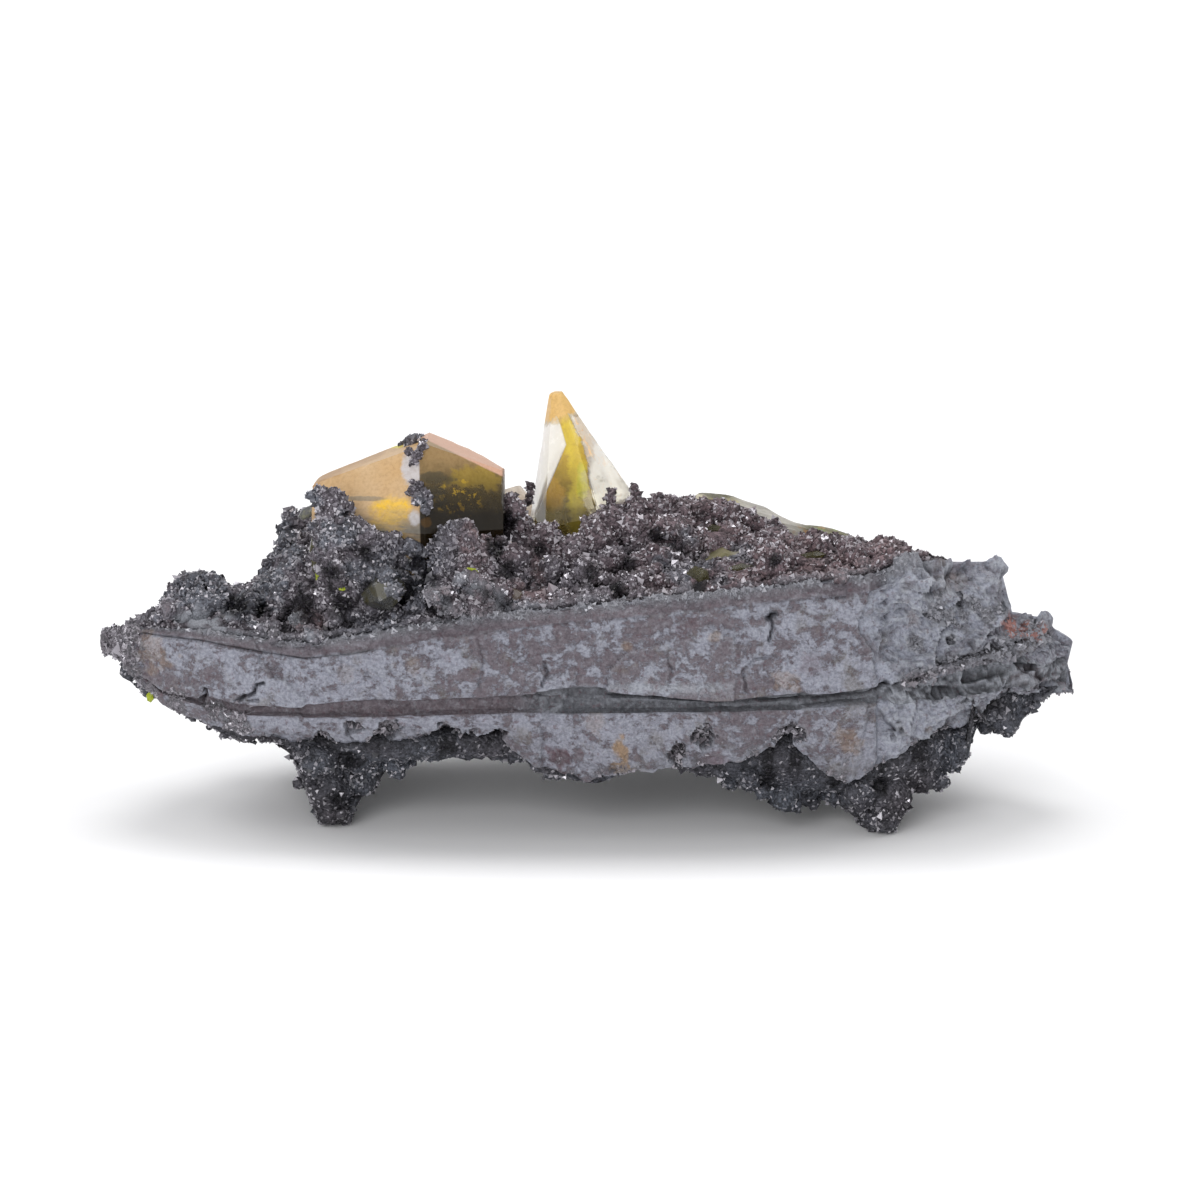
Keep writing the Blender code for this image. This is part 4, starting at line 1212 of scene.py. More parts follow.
    def _values(self, grid: Array, mask: Masks) -> dict[str, Array]:
        """The rock's attributes.

        Args:
            grid: the skin's points.
            mask: the masks over them.

        Returns:
            One grid of values from 0 to 1 for each attribute.
        """
        where, ragged, front = mask.where, mask.ragged, mask.front
        gx, gz = grid[..., 0], grid[..., 2]

        def spotted(group: tuple[Spot, ...]) -> Array:
            """How far points of the front lie in the spots."""
            flat = grid.reshape(-1, 3)
            return discs(self.form, flat, ragged.ravel(), group).reshape(where.shape) * front

        fringe = bell(where, 5, 0.45) * ease((24 - gx) / 2) * ease(0.7 + ragged)
        hem = bell(where, 13.9, 0.45) * ease(0.3 + 1.4 * ragged)
        tip = ease((-30.2 + 1.2 * ragged - gx) / 0.8)
        seam = self.seam.near(gx, gz) * front * ease((gx - 20.5) / 1)
        druse = [0.9 * fringe, 0.8 * hem, tip, seam * 0.9, mask.pit, spotted(ROCK_DRUSE)]
        worn = (where < 15) * ease(mask.past / 0.2) * (1 - seam) * (0.85 + 0.5 * ragged)
        lamina = 0.1 * ease((where - 12.1) / 0.3) * ease((14.2 - where) / 0.3)
        lip = 0.7 * mask.plate * bell(gz, 11.2, 0.4) * ease(ragged + 0.8)
        values = {
            "lamina": np.maximum(mask.lamina, lamina), "groove": mask.groove * (1.1 + 0.5 * ragged),
            "slate": ease((gx + 6 + 2 * ragged) / 4),
            # Painted shade in cracks and pits
            "recess_shade": np.maximum(mask.recess_shade, 0.8 * mask.pit), "druse": np.maximum.reduce(druse),
            "worn": worn, "pale": np.maximum(lip, 0.6 * fringe),
            "rosy": spotted(ROSY_SPOTS), "ochre": spotted(OCHRE_SPOTS),
            "maroon": spotted(MAROON_SPOTS)}
        return {name: np.clip(value, 0, 1) for name, value in values.items()}

    def dress(self, skin: Shape) -> bpy.types.Object:
        """Puts the skin into the scene in place of the solid."""
        return skin.make("banded_slab", Slot.ROCK, self.finish.material(), True, self.sharp,
                         ("ironstone_slab",))


# Small grains and balls


def turns(rng: np.random.Generator, count: int) -> Array:
    """Random rotation matrices, from unit quaternions."""
    q = rng.normal(size=(count, 4))
    q /= np.linalg.norm(q, axis=1, keepdims=True)
    w, x, y, z = q.T
    rows = ((1 - 2 * (y * y + z * z), 2 * (x * y - z * w), 2 * (x * z + y * w)),
            (2 * (x * y + z * w), 1 - 2 * (x * x + z * z), 2 * (y * z - x * w)),
            (2 * (x * z - y * w), 2 * (y * z + x * w), 1 - 2 * (x * x + y * y)))
    return np.stack([np.stack(row, axis=-1) for row in rows], axis=1)


def balls(rows: Array, around: int, up: int, rough: float, grain: Grain, seed: int,
          fine: float = 0.8) -> Shape:
    """Knobbly balls: points at (sin a cos b, sin a sin b, cos a), stretched, turned, scaled and
    pushed by noise.

    Args:
        rows: (x, y, z, radius) of each ball.
        around: points round each ball.
        up: bands from pole to pole.
        rough: height of the noise as a share of the radius.
        grain: the noise.
        seed: seed of the stretches and tones.
        fine: size of the noise as a share of the middle radius.

    Returns:
        The shape with the attribute tone, its triangles facing out.
    """
    rng = np.random.default_rng(seed)
    turn = np.linspace(0, 2 * math.pi, around, endpoint=False)
    rise = np.linspace(0, math.pi, up + 1)[1:-1]
    unit = np.stack([np.outer(np.sin(rise), np.cos(turn)), np.outer(np.sin(rise), np.sin(turn)),
                     np.outer(np.cos(rise), np.ones(around))], axis=-1).reshape(-1, 3)
    unit = np.concatenate([unit, [[0, 0, 1], [0, 0, -1]]])
    turned, stretch = turns(rng, len(rows)), rng.uniform(0.78, 1.2, (len(rows), 1, 3))
    local = np.einsum("nij,nmj->nmi", turned, unit[None] * stretch)
    points = rows[:, None, :3] + local * rows[:, None, 3:4]
    size = float(np.median(rows[:, 3])) * fine
    push = grain.layers(points.reshape(-1, 3), size, 4, 0.65).reshape(points.shape[:2])
    points = points + local * (rough * push * rows[:, 3:4])[..., None]
    faces = ring_faces(up - 1, around)[None] + (np.arange(len(rows)) * len(unit))[:, None, None]
    tone = np.repeat(rng.uniform(0, 1, len(rows)), len(unit))
    return Shape(points.reshape(-1, 3), faces.reshape(-1, 3), {"tone": tone})


def tetrahedra(places: Array, seed: int, size: float, spread: float) -> Shape:
    """Grains: four-sided crystals, each turned, stretched, sized and toned at random.

    Args:
        places: an (n, 3) array of middles.
        seed: seed of turns, sizes and tones.
        size: middle radius.
        spread: spread of the radius's logarithm.

    Returns:
        The shape with the attribute tone.
    """
    rng = np.random.default_rng(seed)
    count = len(places)
    unit = np.array([(1, 1, 1), (1, -1, -1), (-1, 1, -1), (-1, -1, 1)]) / math.sqrt(3)
    faces = np.array([(0, 1, 2), (0, 3, 1), (0, 2, 3), (1, 3, 2)])
    radius = np.exp(rng.normal(math.log(size), spread, (count, 1, 1)))
    stretch = rng.uniform(0.6, 1.4, (count, 1, 3))
    local = np.einsum("nij,nmj->nmi", turns(rng, count), unit[None] * stretch)
    points = places[:, None] + local * radius
    faces = faces[None] + (np.arange(count) * 4)[:, None, None]
    tone = np.repeat(rng.random(count), 4)
    return Shape(points.reshape(-1, 3), faces.reshape(-1, 3), {"tone": tone})


def scattered_on(shape: Shape, count: int, seed: int, chance: Optional[Array] = None) -> tuple:
    """Seeded places on a shape's triangles, as many on each as its area asks.

    Args:
        shape: the shape.
        count: how many places.
        seed: seed of the choice.
        chance: one weight for each triangle, besides its area.

    Returns:
        The places and the outward directions there.
    """
    rng = np.random.default_rng(seed)
    corners = shape.points[shape.faces]
    normal = np.cross(corners[:, 1] - corners[:, 0], corners[:, 2] - corners[:, 0])
    size = np.linalg.norm(normal, axis=1)
    weight = size if chance is None else size * chance
    chosen = rng.choice(len(shape.faces), count, p=weight / weight.sum())
    shares = rng.dirichlet((1, 1, 1), count)
    return (np.einsum("nk,nkc->nc", shares, corners[chosen]),
            normal[chosen] / np.maximum(size[chosen], 1e-12)[:, None])


class Filled:
    """Which cells of a cubic lattice about the specimen lie inside a crust's balls."""

    CELL = 0.2
    LOW = np.array([-35, -17, -1])
    COUNTS = (350, 170, 160)

    def __init__(self) -> None:
        """Starts with every cell empty."""
        self.cells = np.zeros(self.COUNTS, bool)

    def add(self, rows: Array, share: float) -> None:
        """Fills the cells within this share of the radius of each (x, y, z, radius) row."""
        for *place, radius in rows:
            middle, out = np.array(place), radius * share
            low = np.maximum(((middle - out - self.LOW) / self.CELL).astype(int), 0)
            high = ((middle + out - self.LOW) / self.CELL).astype(int) + 2
            high = np.minimum(high, self.COUNTS)
            steps = [(np.arange(low[k], high[k]) + 0.5) * self.CELL for k in range(3)]
            x, y, z = ((self.LOW[k] + steps[k] - middle[k]) ** 2 for k in range(3))
            away = x[:, None, None] + y[None, :, None] + z[None, None, :]
            self.cells[low[0]:high[0], low[1]:high[1], low[2]:high[2]] |= away < out ** 2

    def settle(self, room: int, heights: Callable[[Array, Array], tuple]) -> None:
        """Works out how crowded cells are: the share of full cells in a box, by running sums.

        Args:
            room: how many cells the box reaches to each side.
            heights: the two heights at x and y between which cells count as full too.
        """
        x, y, z = (self.LOW[k] + (np.arange(self.COUNTS[k]) + 0.5) * self.CELL for k in range(3))
        low, high = heights(*np.meshgrid(x, y, indexing="ij"))
        crust = (z > low[..., None]) & (z < high[..., None])
        self.crowd = (self.cells | crust).astype(np.float32)
        for axis in range(3):
            sums = np.cumsum(self.crowd, axis=axis)
            run = np.roll(sums, -room, axis) - np.roll(sums, room + 1, axis)
            self.crowd = run / (2 * room + 1)

    def _index(self, points: Array) -> Array:
        """The cells of points, as three rows."""
        index = np.floor((points - self.LOW) / self.CELL).astype(int)
        return np.clip(index, 0, np.array(self.COUNTS) - 1).T

    def holds(self, points: Array) -> Array:
        """Which points lie in filled cells."""
        return self.cells[tuple(self._index(points))]

    def crowding(self, points: Array) -> Array:
        """How crowded the cells about points are."""
        return self.crowd[tuple(self._index(points))]


# The crusts


@dataclass
class Crust:
    """A crust of tiny crystals on one side of the slab: a blanket, lumps, knobs and grains."""

    form: SlabForm
    side: Side
    slot: Slot
    finish: CrustFinish
    stands_for: tuple
    lumps: tuple
    crystals: list["Crystal"]
    scatter: int
    scatter_seed: int
    knobs: int
    grains: int
    grain_pieces: int
    # How low its points may lie above the floor, and the middle radius of its grains
    lowest: float = 0.02
    grain_size: float = 0.13
    rows: int = 270
    columns: int = 80
    seed: int = 21

    def __post_init__(self) -> None:
        """Prepares the noise and the filled cells."""
        self.up, self.way = self.side is Side.UP, self.side.value
        self.grain = Grain(self.seed)
        self.filled, self.clung = Filled(), Filled()
        self.ranks = np.zeros(1)

    def blanket(self, x: Array, share: Array) -> Array:
        """Surface of the even crust that the lumps stand on."""
        form = self.form
        front, back = form.depth(x)
        if self.up:
            rim = np.minimum(share, 1 - share) * (back - front)
            ends = ease((x + 33) / 6) * (0.25 + 0.75 * ease((25 - x) / 5))
            return form.top(x, share) + 0.3 + (0.1 + 1.2 * ease(rim / 4)) * ends
        under = form.under(x, share) - form.clearance
        foot = reach(form.crust_foot, x) + 0.9
        inside = ease((share - 0.3) / 0.6)
        level = foot * (1 - inside) + (reach(form.underside, x) - 1.9) * inside
        rim = ease(share / 0.1) * ease((1 - share) / 0.12)
        return np.minimum(level * rim + under * (1 - rim), under) - 0.45

    def scattered(self) -> Array:
        """Seeded lumps over the blanket, as (x, y, z, radius) rows."""
        rng = np.random.default_rng(self.scatter_seed)
        x = rng.uniform(-31, 31.5, self.scatter)
        share = rng.uniform(0.05, 0.95, self.scatter)
        front, back = self.form.depth(x)
        radius = rng.uniform(0.5, 1.4, self.scatter)
        level = self.blanket(x, share) + self.way * 0.25 * radius
        rows = np.column_stack([x, between(front, back, share), level, radius])
        rows = rows[x < 23.5] if self.up else rows
        return rows[~self.in_crystals(rows[:, :3], -0.35)]

    def in_crystals(self, points: Array, margin: float) -> Array:
        """Which points lie inside a crystal by more than margin."""
        inside = np.zeros(len(points), bool)
        for crystal in self.crystals:
            inside |= crystal.holds(points, margin)
        return inside

    def clinging(self) -> list[tuple]:
        """The stalks and the lumps on the crystals' front faces, as (x, y, z, radius) rows."""
        rows = list(STALKS) if self.crystals else []
        for x, z, radius, out in CLINGING if self.crystals else ():
            met = [crystal.met(x, z) for crystal in self.crystals]
            met = [place for place in met if place is not None]
            if met:
                place = min(met, key=lambda found: found[1])
                rows.append((place[0], place[1] - out * radius, place[2], radius))
        return rows

    def rooted(self, rows: Array) -> Array:
        """The lumps, with more beneath each one that stands clear of the blanket, down to it."""
        rng = np.random.default_rng(self.seed + 1)
        extra = []
        for x, y, z, radius in rows:
            floor = float(self.blanket(x, np.clip(self.form.share(x, y), 0.02, 0.98)))
            way = self.way
            while way * (z - floor) > 0.7 * radius and radius > 0.5:
                z -= way * radius * 0.8
                radius = min(radius * 1.08, 1.9)
                x, y = x + rng.normal(0, 0.12), y + rng.normal(0, 0.12)
                extra.append((x, y, z, radius))
        return np.concatenate([rows, np.array(extra)]) if extra else rows

    def bounded(self, points: Array, room: Any) -> Array:
        """Points moved up or down to lie this far inside the outline that the eye sees."""
        x, y, z = points[:, 0], points[:, 1], points[:, 2]
        if self.up:
            z = np.minimum(z, self.form.outlined(self.form.crest, x, y) - room)
        else:
            z = np.maximum(z, self.form.outlined(self.form.hem, x, y) + room)
            z = np.maximum(z, self.lowest)
        return np.column_stack([points[:, :2], z, points[:, 3:]])

    def kept(self, points: Array, past: Any) -> Array:
        """Which points lie over the slab, outside the crystals and at most past the outline."""
        x, y, z = points[:, :3].T
        share = self.form.share(x, y)
        outline = self.form.crest if self.up else self.form.hem
        wide = 0.3 if self.up else 0.7
        sides = np.stack([self.form.outlined(outline, x + aside, y)
                          for aside in (-wide, 0, wide)])
        if self.up:
            keep = (z > self.form.top(x, share) + 0.02) & (share > -0.025) & (share < 1.03)
            keep &= (z < sides.max(axis=0) + past) | self.clung.holds(points[:, :3])
        else:
            keep = (z < self.form.under(x, share) + 0.15) & (share > -0.02) & (share < 1)
            keep &= z > np.maximum(sides.min(axis=0) - past, 0.1)
        return keep & ~self.in_crystals(points[:, :3], 0.04)

    def skin(self) -> Shape:
        """The blanket as a closed skin: rings of a few points on the slab and many over the crust.

        Returns:
            The closed shape.
        """
        form, way = self.form, self.way
        low, high = (-32.6, 24.3) if self.up else (-31, 33)
        x = np.linspace(low, high, self.rows)[:, None]
        first, last = form.depth(x)
        if self.up:
            inner = np.array(form.top_rows[::-1]).clip(0.02, 0.98)
            outer, level, sunk, gap = np.linspace(0.012, 0.988, self.columns), form.top, 0.15, 0.08
        else:
            first, last = reach(form.front_plan, x) + form.lower_edge_back, last + 0.2
            inner = np.array(form.under_rows).clip(0.04, 0.94)
            outer, level, sunk, gap = np.linspace(0.94, 0.04, self.columns), form.under, 0.15, 0.08

        def placed(share: Array, height: Array) -> Array:
            """Grid of points at x, this share of the way to the back and this high."""
            rows = np.broadcast_arrays(x, between(first, last, share[None]), height)
            return np.stack(rows, axis=-1)

        top = placed(outer, self.blanket(x, outer[None]))
        shape, spots = top.shape[:2], top.reshape(-1, 3)
        rough = 0.68 * self.grain.layers(spots, 1.3, 4, 0.65).reshape(shape)
        hollow = discs(form, spots, self.grain.layers(spots, 0.7, 3), DEEP_SPOTS).reshape(shape)
        rim = ease(np.minimum(outer, 1 - outer)[None] * (last - first) / 0.8)
        height = top[..., 2] + way * rough * rim - way * 0.9 * hollow * self.up
        least = level(x, outer[None]) + way * gap
        top[..., 2] = way * np.maximum(way * height, way * least)
        grid = np.concatenate([placed(inner, level(x, inner[None]) - way * sunk), top], axis=1)
        places = (grid * (0, 1, 0)).reshape(-1, 3) + 51
        ends = self.grain.layers(places, 2.2, 4, 0.65).reshape(grid.shape[:2])
        grid[..., 0] -= ease((x - 22) / 2.3) * self.up * (0.45 + 0.9 * ends)
        skin = closed_rings(grid, {"tone": np.full(grid.shape[:2], 0.5)})
        if not self.up:
            skin.faces = skin.faces[:, ::-1]
        return skin

    def coloured(self, shape: Shape) -> Shape:
        """Gives a shape the attributes cool, rosy, deep, open and bare.

        Args:
            shape: the shape, whose points are held above the floor.

        Returns:
            The same shape, deep (painted shade) where the crust crowds about it and open where it
            stands out.
        """
        shape.points[:, 2] = np.maximum(shape.points[:, 2], self.lowest)
        points = shape.points
        x = points[:, 0]
        rank = np.searchsorted(self.ranks, self.filled.crowding(points)) / len(self.ranks)
        ragged = self.grain.layers(points, 1.1, 4, 0.65)
        drift = self.grain.layers(points + 90, 4, 3)
        if self.up:
            rim = ease((reach(self.form.front_plan, x) + 1.7 - points[:, 1]) / 0.7)
            rim = rim * ease(0.6 + 1.5 * ragged)
            groups = (COOL_SPOTS, ROSY_CRUST, DEEP_SPOTS, BARE_SPOTS)
            base = 0.12 + 0.45 * ease(0.2 + 2 * drift) + 0.4 * ease((-7 - x) / 5)
            start = 0.34 - 0.1 * ease((-8 - x) / 4)
        else:
            rim, groups, base, start = np.zeros(len(x)), ((), (), LOWER_DEEP, ()), 0.5 + drift, 0.38
        cool, rosy, deep, bare = (discs(self.form, points, ragged, group) for group in groups)
        flush = 0.55 * ease((x - 1) / 9) * self.up * ease(0.5 + drift)
        # The open value sets how many grains get painted glints
        values = {"cool": np.maximum(base, cool) + 0.4 * rim - flush, "open": 1 - rank,
                  "rosy": np.maximum(rosy, 0.5 * rim) + flush,
                  # Painted shade in the deep spots and where the crust crowds
                  "deep": np.maximum(deep, ease((rank - start) / 0.5)),
                  "bare": np.maximum(bare, 0.55 * rim * (x > -24))}
        shape.values.update({name: np.clip(value, 0, 1) for name, value in values.items()})
        return shape

    def levels(self, x: Array, y: Array) -> tuple[Array, Array]:
        """Lower and upper height of the even crust at places in plan, both 0 off the slab."""
        share = self.form.share(x, y)
        inside = (share > 0) & (share < 1) & (np.abs(x) < 33)
        share = np.clip(share, 0, 1)
        skin = self.blanket(x, share)
        rock = self.form.top(x, share) if self.up else self.form.under(x, share)
        low, high = (rock - 1, skin) if self.up else (skin, rock + 1)
        return np.where(inside, low, 0), np.where(inside, high, 0)

    def build(self) -> None:
        """Builds the skin with its lumps, the knobs and the grains."""
        rng = np.random.default_rng(self.seed + 4)
        mass, loose = self.finish.material(False), self.finish.material(True)
        rows = self.rooted(np.concatenate([np.array(self.lumps), self.scattered()]))
        rows = self.bounded(rows, 0.85 * rows[:, 3])
        core = joined([self.skin(), balls(rows, 12, 8, 0.75, self.grain, self.seed + 2)])
        core.points = self.bounded(core.points, 0.3 + 0.35 * self.grain.layers(core.points, 0.9, 3))
        self.filled.add(rows, 0.82)
        clung = np.array(self.clinging()).reshape(-1, 4)
        if len(clung):
            core = joined([core, balls(clung, 12, 8, 0.9, self.grain, self.seed + 7, 1)])
            self.filled.add(clung, 0.7)
            self.clung.add(clung[clung[:, 3] < 0.75], 1.5)
        places, way = scattered_on(core, self.knobs * 4, self.seed + 3)
        radius = np.clip(0.2 * rng.power(2.2, len(places)) ** -0.9, 0.2, 0.62)
        rows = np.column_stack([places + way * radius[:, None] * 0.35, radius])
        clear = self.kept(rows, -0.8 * radius) & ~self.filled.holds(places + way * 0.3)
        clear &= ~self.clung.holds(places)
        clear &= rng.random(len(rows)) > 0.85 * discs(self.form, places, 0, THIN_SPOTS)
        rows = rows[clear][:self.knobs]
        knobs = balls(rows, 8, 5, 0.8, self.grain, self.seed + 5, 1.2)
        self.filled.add(rows, 0.75)
        self.filled.settle(3, self.levels)
        places, way = scattered_on(joined([core, knobs]), self.grains * 3, self.seed + 6)
        places = places + way * 0.03
        clear = self.kept(places, 0.05) & ~self.filled.holds(places + way * 0.22)
        clear &= rng.random(len(places)) > discs(self.form, places, 0, THIN_SPOTS)
        places = places[clear][:self.grains]
        self.ranks = np.sort(self.filled.crowding(places))
        name = self.slot.value
        self.coloured(core).make(name + "_mass", self.slot, mass, True, None, self.stands_for)
        self.coloured(knobs).make(name + "_knobs", self.slot, mass, True)
        for number, part in enumerate(np.array_split(places, self.grain_pieces)):
            grains = tetrahedra(part, self.seed + 30 + number, self.grain_size, 0.33)
            grains = self.coloured(grains)
            grains.make(f"{name}_grains_{number + 1}", self.slot, loose, False)

    def met(self, x: float, z: float) -> Array:
        """The place where the eye's sight through (x, 0, z) first meets the crust."""
        away = np.array([x, 0, z]) - EYE
        share = np.linspace(0.94, 1.05, 900)[:, None]
        points = np.array(EYE) + share * away
        fx, fy, fz = points.T
        across = self.form.share(fx, fy)
        over = (across > 0) & (across < 1)
        solid = over & (fz < self.blanket(fx, np.clip(across, 0, 1)))
        solid |= self.filled.holds(points)
        return points[np.argmax(solid)] if solid.any() else points[len(points) // 2]


@dataclass(frozen=True)
class Chip:
    """A tiny crystal in the crust: where the eye sees it, its half width and height, its kind."""

    x: float
    z: float
    wide: float
    high: float
    kind: Kind
    turn: float = 0.0
    sunk: float = 0.35


@dataclass
class Chips:
    """The tiny crystals in the upper crust."""

    crust: Crust
    chips: tuple
    finish: ChipFinish = ChipFinish("tiny_crystals", (0.8, 0.78, 0.4), (0.5, 0.45, 0.08), 300)

    def build(self) -> bpy.types.Object:
        """Cut double pyramids of six sides, each set where the eye's sight meets the crust."""
        shapes = []
        for number, chip in enumerate(self.chips):
            place = self.crust.met(chip.x, chip.z)
            towards = (np.array(EYE) - place) / np.linalg.norm(np.array(EYE) - place)
            turn = np.linspace(0, 2 * math.pi, 6, endpoint=False) + 0.35 * number
            rings = []
            for depth, share in ((-0.9, 0.5), (-0.4, 0.95), (0.35, 0.85), (0.6, 0.35)):
                across, up = chip.wide * share * np.cos(turn), chip.high * share * np.sin(turn)
                tilt = math.radians(chip.turn)
                side = across * math.cos(tilt) - up * math.sin(tilt)
                rise = across * math.sin(tilt) + up * math.cos(tilt)
                out = (depth * 0.8 * min(chip.wide, chip.high) - chip.sunk) + 0.12 * side
                spread = np.column_stack([side, rise * 0, rise])
                rings.append(place + out[:, None] * towards + spread)
            kind = np.full((4, 6), chip.kind.value)
            shapes.append(closed_rings(np.array(rings[::-1]), {"kind": kind}))
        return joined(shapes).make("tiny_crystals", Slot.CRYSTAL, self.finish.material(), False)


# The crystals


@dataclass
class Crystal:
    """A six-sided dipyramid with cut ends, its foot cut along the slab's top."""

    form: SlabForm
    name: str
    node: str
    finish: CrystalFinish
    centre: tuple
    half_width: float
    axis: tuple
    roll: float
    ends: tuple
    lean: float
    relief: float = 0.03
    steps: int = 16
    # The broken outline that the eye sees above the crystal
    broken: Optional[Line] = None
    # Degrees past which its edges stay sharp
    sharp: float = 16.0

    def planes(self) -> tuple[Array, Array]:
        """A point on each face and its outward direction."""
        axis = Vector(self.axis).normalized()
        side = Vector((0, 0, 1)) if abs(axis.z) < 0.7 else Vector((0, -1, 0))
        side = (side - axis * side.dot(axis)).normalized()
        centre = Vector(self.centre)
        lean = math.radians(self.lean)
        points, outwards = [], []
        for number in range(6):
            turn = math.radians(self.roll) + number * math.pi / 3
            turned = Matrix.Rotation(turn, 3, axis) @ side
            for way in (-1, 1):
                outward = (turned * math.cos(lean) + axis * way * math.sin(lean)).normalized()
                points.append(centre + turned * self.half_width)
                outwards.append(outward)
        for way, end in zip((-1, 1), self.ends):
            points.append(centre + axis * way * end)
            outwards.append(axis * way)
        level = [float(self.form.top_at(centre.x + dx, centre.y + dy))
                 for dx, dy in ((0, 0), (1, 0), (0, 1))]
        down = Vector((level[1] - level[0], level[2] - level[0], -1)).normalized()
        points.append(Vector((centre.x, centre.y, level[0] + self.form.buried_floor)))
        outwards.append(down)
        return np.array(points), np.array(outwards)

    def met(self, x: float, z: float) -> Optional[Array]:
        """The place where the eye's sight through (x, 0, z) enters the crystal, if it does."""
        on, outward = self.planes()
        eye, way = np.array(EYE), np.array([x, 0, z]) - EYE
        speed, room = outward @ way, np.einsum("ij,ij->i", on - eye, outward)
        enters, leaves = np.max((room / speed)[speed < 0]), np.min((room / speed)[speed > 0])
        return eye + enters * way if enters < leaves else None

    def holds(self, points: Array, margin: float) -> Array:
        """Which points lie inside by more than margin."""
        on, outward = self.planes()
        depth = (points @ outward.T) - np.einsum("ij,ij->i", on, outward)
        return np.all(depth < -margin, axis=1)

    def corners(self, on: Array, outward: Array) -> list[Array]:
        """The corners of each face in order: where three planes meet and no plane cuts them off."""
        offset = np.einsum("ij,ij->i", on, outward)
        places, owners = [], []
        for trio in itertools.combinations(range(len(on)), 3):
            system = outward[list(trio)]
            if abs(np.linalg.det(system)) < 1e-6:
                continue
            corner = np.linalg.solve(system, offset[list(trio)])
            if np.all(outward @ corner - offset < 1e-6):
                places.append(corner)
                owners.append(set(trio))
        polygons = []
        for number in range(len(on)):
            mine = [c for c, owner in zip(places, owners) if number in owner]
            mine = np.unique(np.round(np.array(mine), 6), axis=0) if mine else np.empty((0, 3))
            if len(mine) >= 3:
                middle = mine.mean(axis=0)
                u = (mine[0] - middle) / np.linalg.norm(mine[0] - middle)
                v = np.cross(outward[number], u)
                mine = mine[np.argsort(np.arctan2((mine - middle) @ v, (mine - middle) @ u))]
            polygons.append(mine)
        return polygons

    def shape(self) -> Shape:
        """The faces as fans of triangular grids, with a slight relief that dies out at the edges.

        Returns:
            The closed shape.
        """
        on, outward = self.planes()
        points, faces, sides, start = [], [], [], 0
        for number, mine in enumerate(self.corners(on, outward)):
            if len(mine) < 3:
                continue
            for first, second in zip(mine, np.roll(mine, -1, axis=0)):
                grid, triangles = wedge(mine.mean(axis=0), first, second, self.steps)
                points.append(grid)
                faces.append(triangles + start)
                sides.append(np.full(len(grid), number))
                start += len(grid)
        points, faces, sides = (np.concatenate(parts) for parts in (points, faces, sides))
        return self.relieved(points, faces, sides, on, outward)

    def relieved(self, points: Array, faces: Array, sides: Array, on: Array,
                 outward: Array) -> Shape:
        """Adds the relief, chips the edges, breaks the outline and joins the faces at their edges.

        Args:
            points: the points of all faces.
            faces: their triangles.
            sides: the number of each point's face.
            on: a point on each face.
            outward: its outward direction.

        Returns:
            The closed shape.
        """
        grain = Grain(61)
        offset = np.einsum("ij,ij->i", on, outward)
        depth = offset[None] - points @ outward.T
        depth[np.arange(len(points)), sides] = 1e3
        least = depth.min(axis=1)
        lift = self.relief * grain.layers(points, 1.1, 3) * ease(least / 0.5)
        moved = points + outward[sides] * lift[:, None]
        chip = 0.10 * (1 - ease(least / 0.22))
        chip = chip * ease(grain.layers(points + 50, 0.7, 3) * 2.2 - 0.35)
        moved = moved + (np.array(self.centre) - moved) * (chip / 4)[:, None]
        if self.broken is not None:
            edge = self.form.outlined(self.broken, moved[:, 0], moved[:, 1])
            edge = edge + 0.12 * grain.layers(moved, 0.9, 3)
            moved[:, 2] = np.minimum(moved[:, 2], edge)
        _, index = np.unique(np.round(points, 4), axis=0, return_inverse=True)
        index = index.reshape(-1)
        weight = np.bincount(index).astype(float)
        merged = np.column_stack([np.bincount(index, moved[:, axis]) / weight for axis in range(3)])
        faces = index[faces]
        whole = np.all(faces != np.roll(faces, 1, axis=1), axis=1)
        return Shape(merged, faces[whole])

    def build(self) -> bpy.types.Object:
        """Builds and dresses the crystal."""
        return self.shape().make(self.name, Slot.CRYSTAL, self.finish.material(), True, self.sharp,
                                 (self.node,))


def wedge(middle: Array, first: Array, second: Array, steps: int) -> tuple[Array, Array]:
    """A triangle's grid: middle + a (first - middle) + b (second - middle), with a + b up to 1."""
    rows = [(i, j) for i in range(steps + 1) for j in range(steps + 1 - i)]
    number = {cell: index for index, cell in enumerate(rows)}
    a, b = np.array(rows).T / steps
    points = middle + a[:, None] * (first - middle) + b[:, None] * (second - middle)
    faces = []
    for i, j in rows:
        if i + j < steps:
            faces.append((number[i, j], number[i + 1, j], number[i, j + 1]))
            if i + j < steps - 1:
                faces.append((number[i + 1, j], number[i + 1, j + 1], number[i, j + 1]))
    return points, np.array(faces)


LARGE_BROKEN = (
    (-20, 20.9), (-18.98, 21.9), (-18.62, 22.4), (-17.8, 23), (-17.2, 23.2), (-16.75, 23.6),
    (-15.8, 23.9), (-14.9, 24.3), (-14.3, 24.5), (-13.8, 25), (-13.3, 25.1), (-12.8, 25.4),
    (-12.2, 25.6), (-10.8, 25.7), (-8.2, 24.5), (-5.6, 23), (-5, 22.7))
RIDGE_BROKEN = (
    (5, 19), (7.06, 20.9), (7.7, 21.4), (9.96, 21.25), (10.65, 20.85), (12, 20.55), (13.4, 19.7),
    (14.6, 19.15), (16.1, 19.05), (18, 18.55), (18.9, 18), (20, 17.5))
SPIRE_BROKEN = (
    (-6, 19), (-4, 21), (-2.7, 28.35), (-2.39, 28.6), (-1.77, 28.5), (-1.4, 28), (0.2, 25.6),
    (3.3, 21.1), (5, 18))

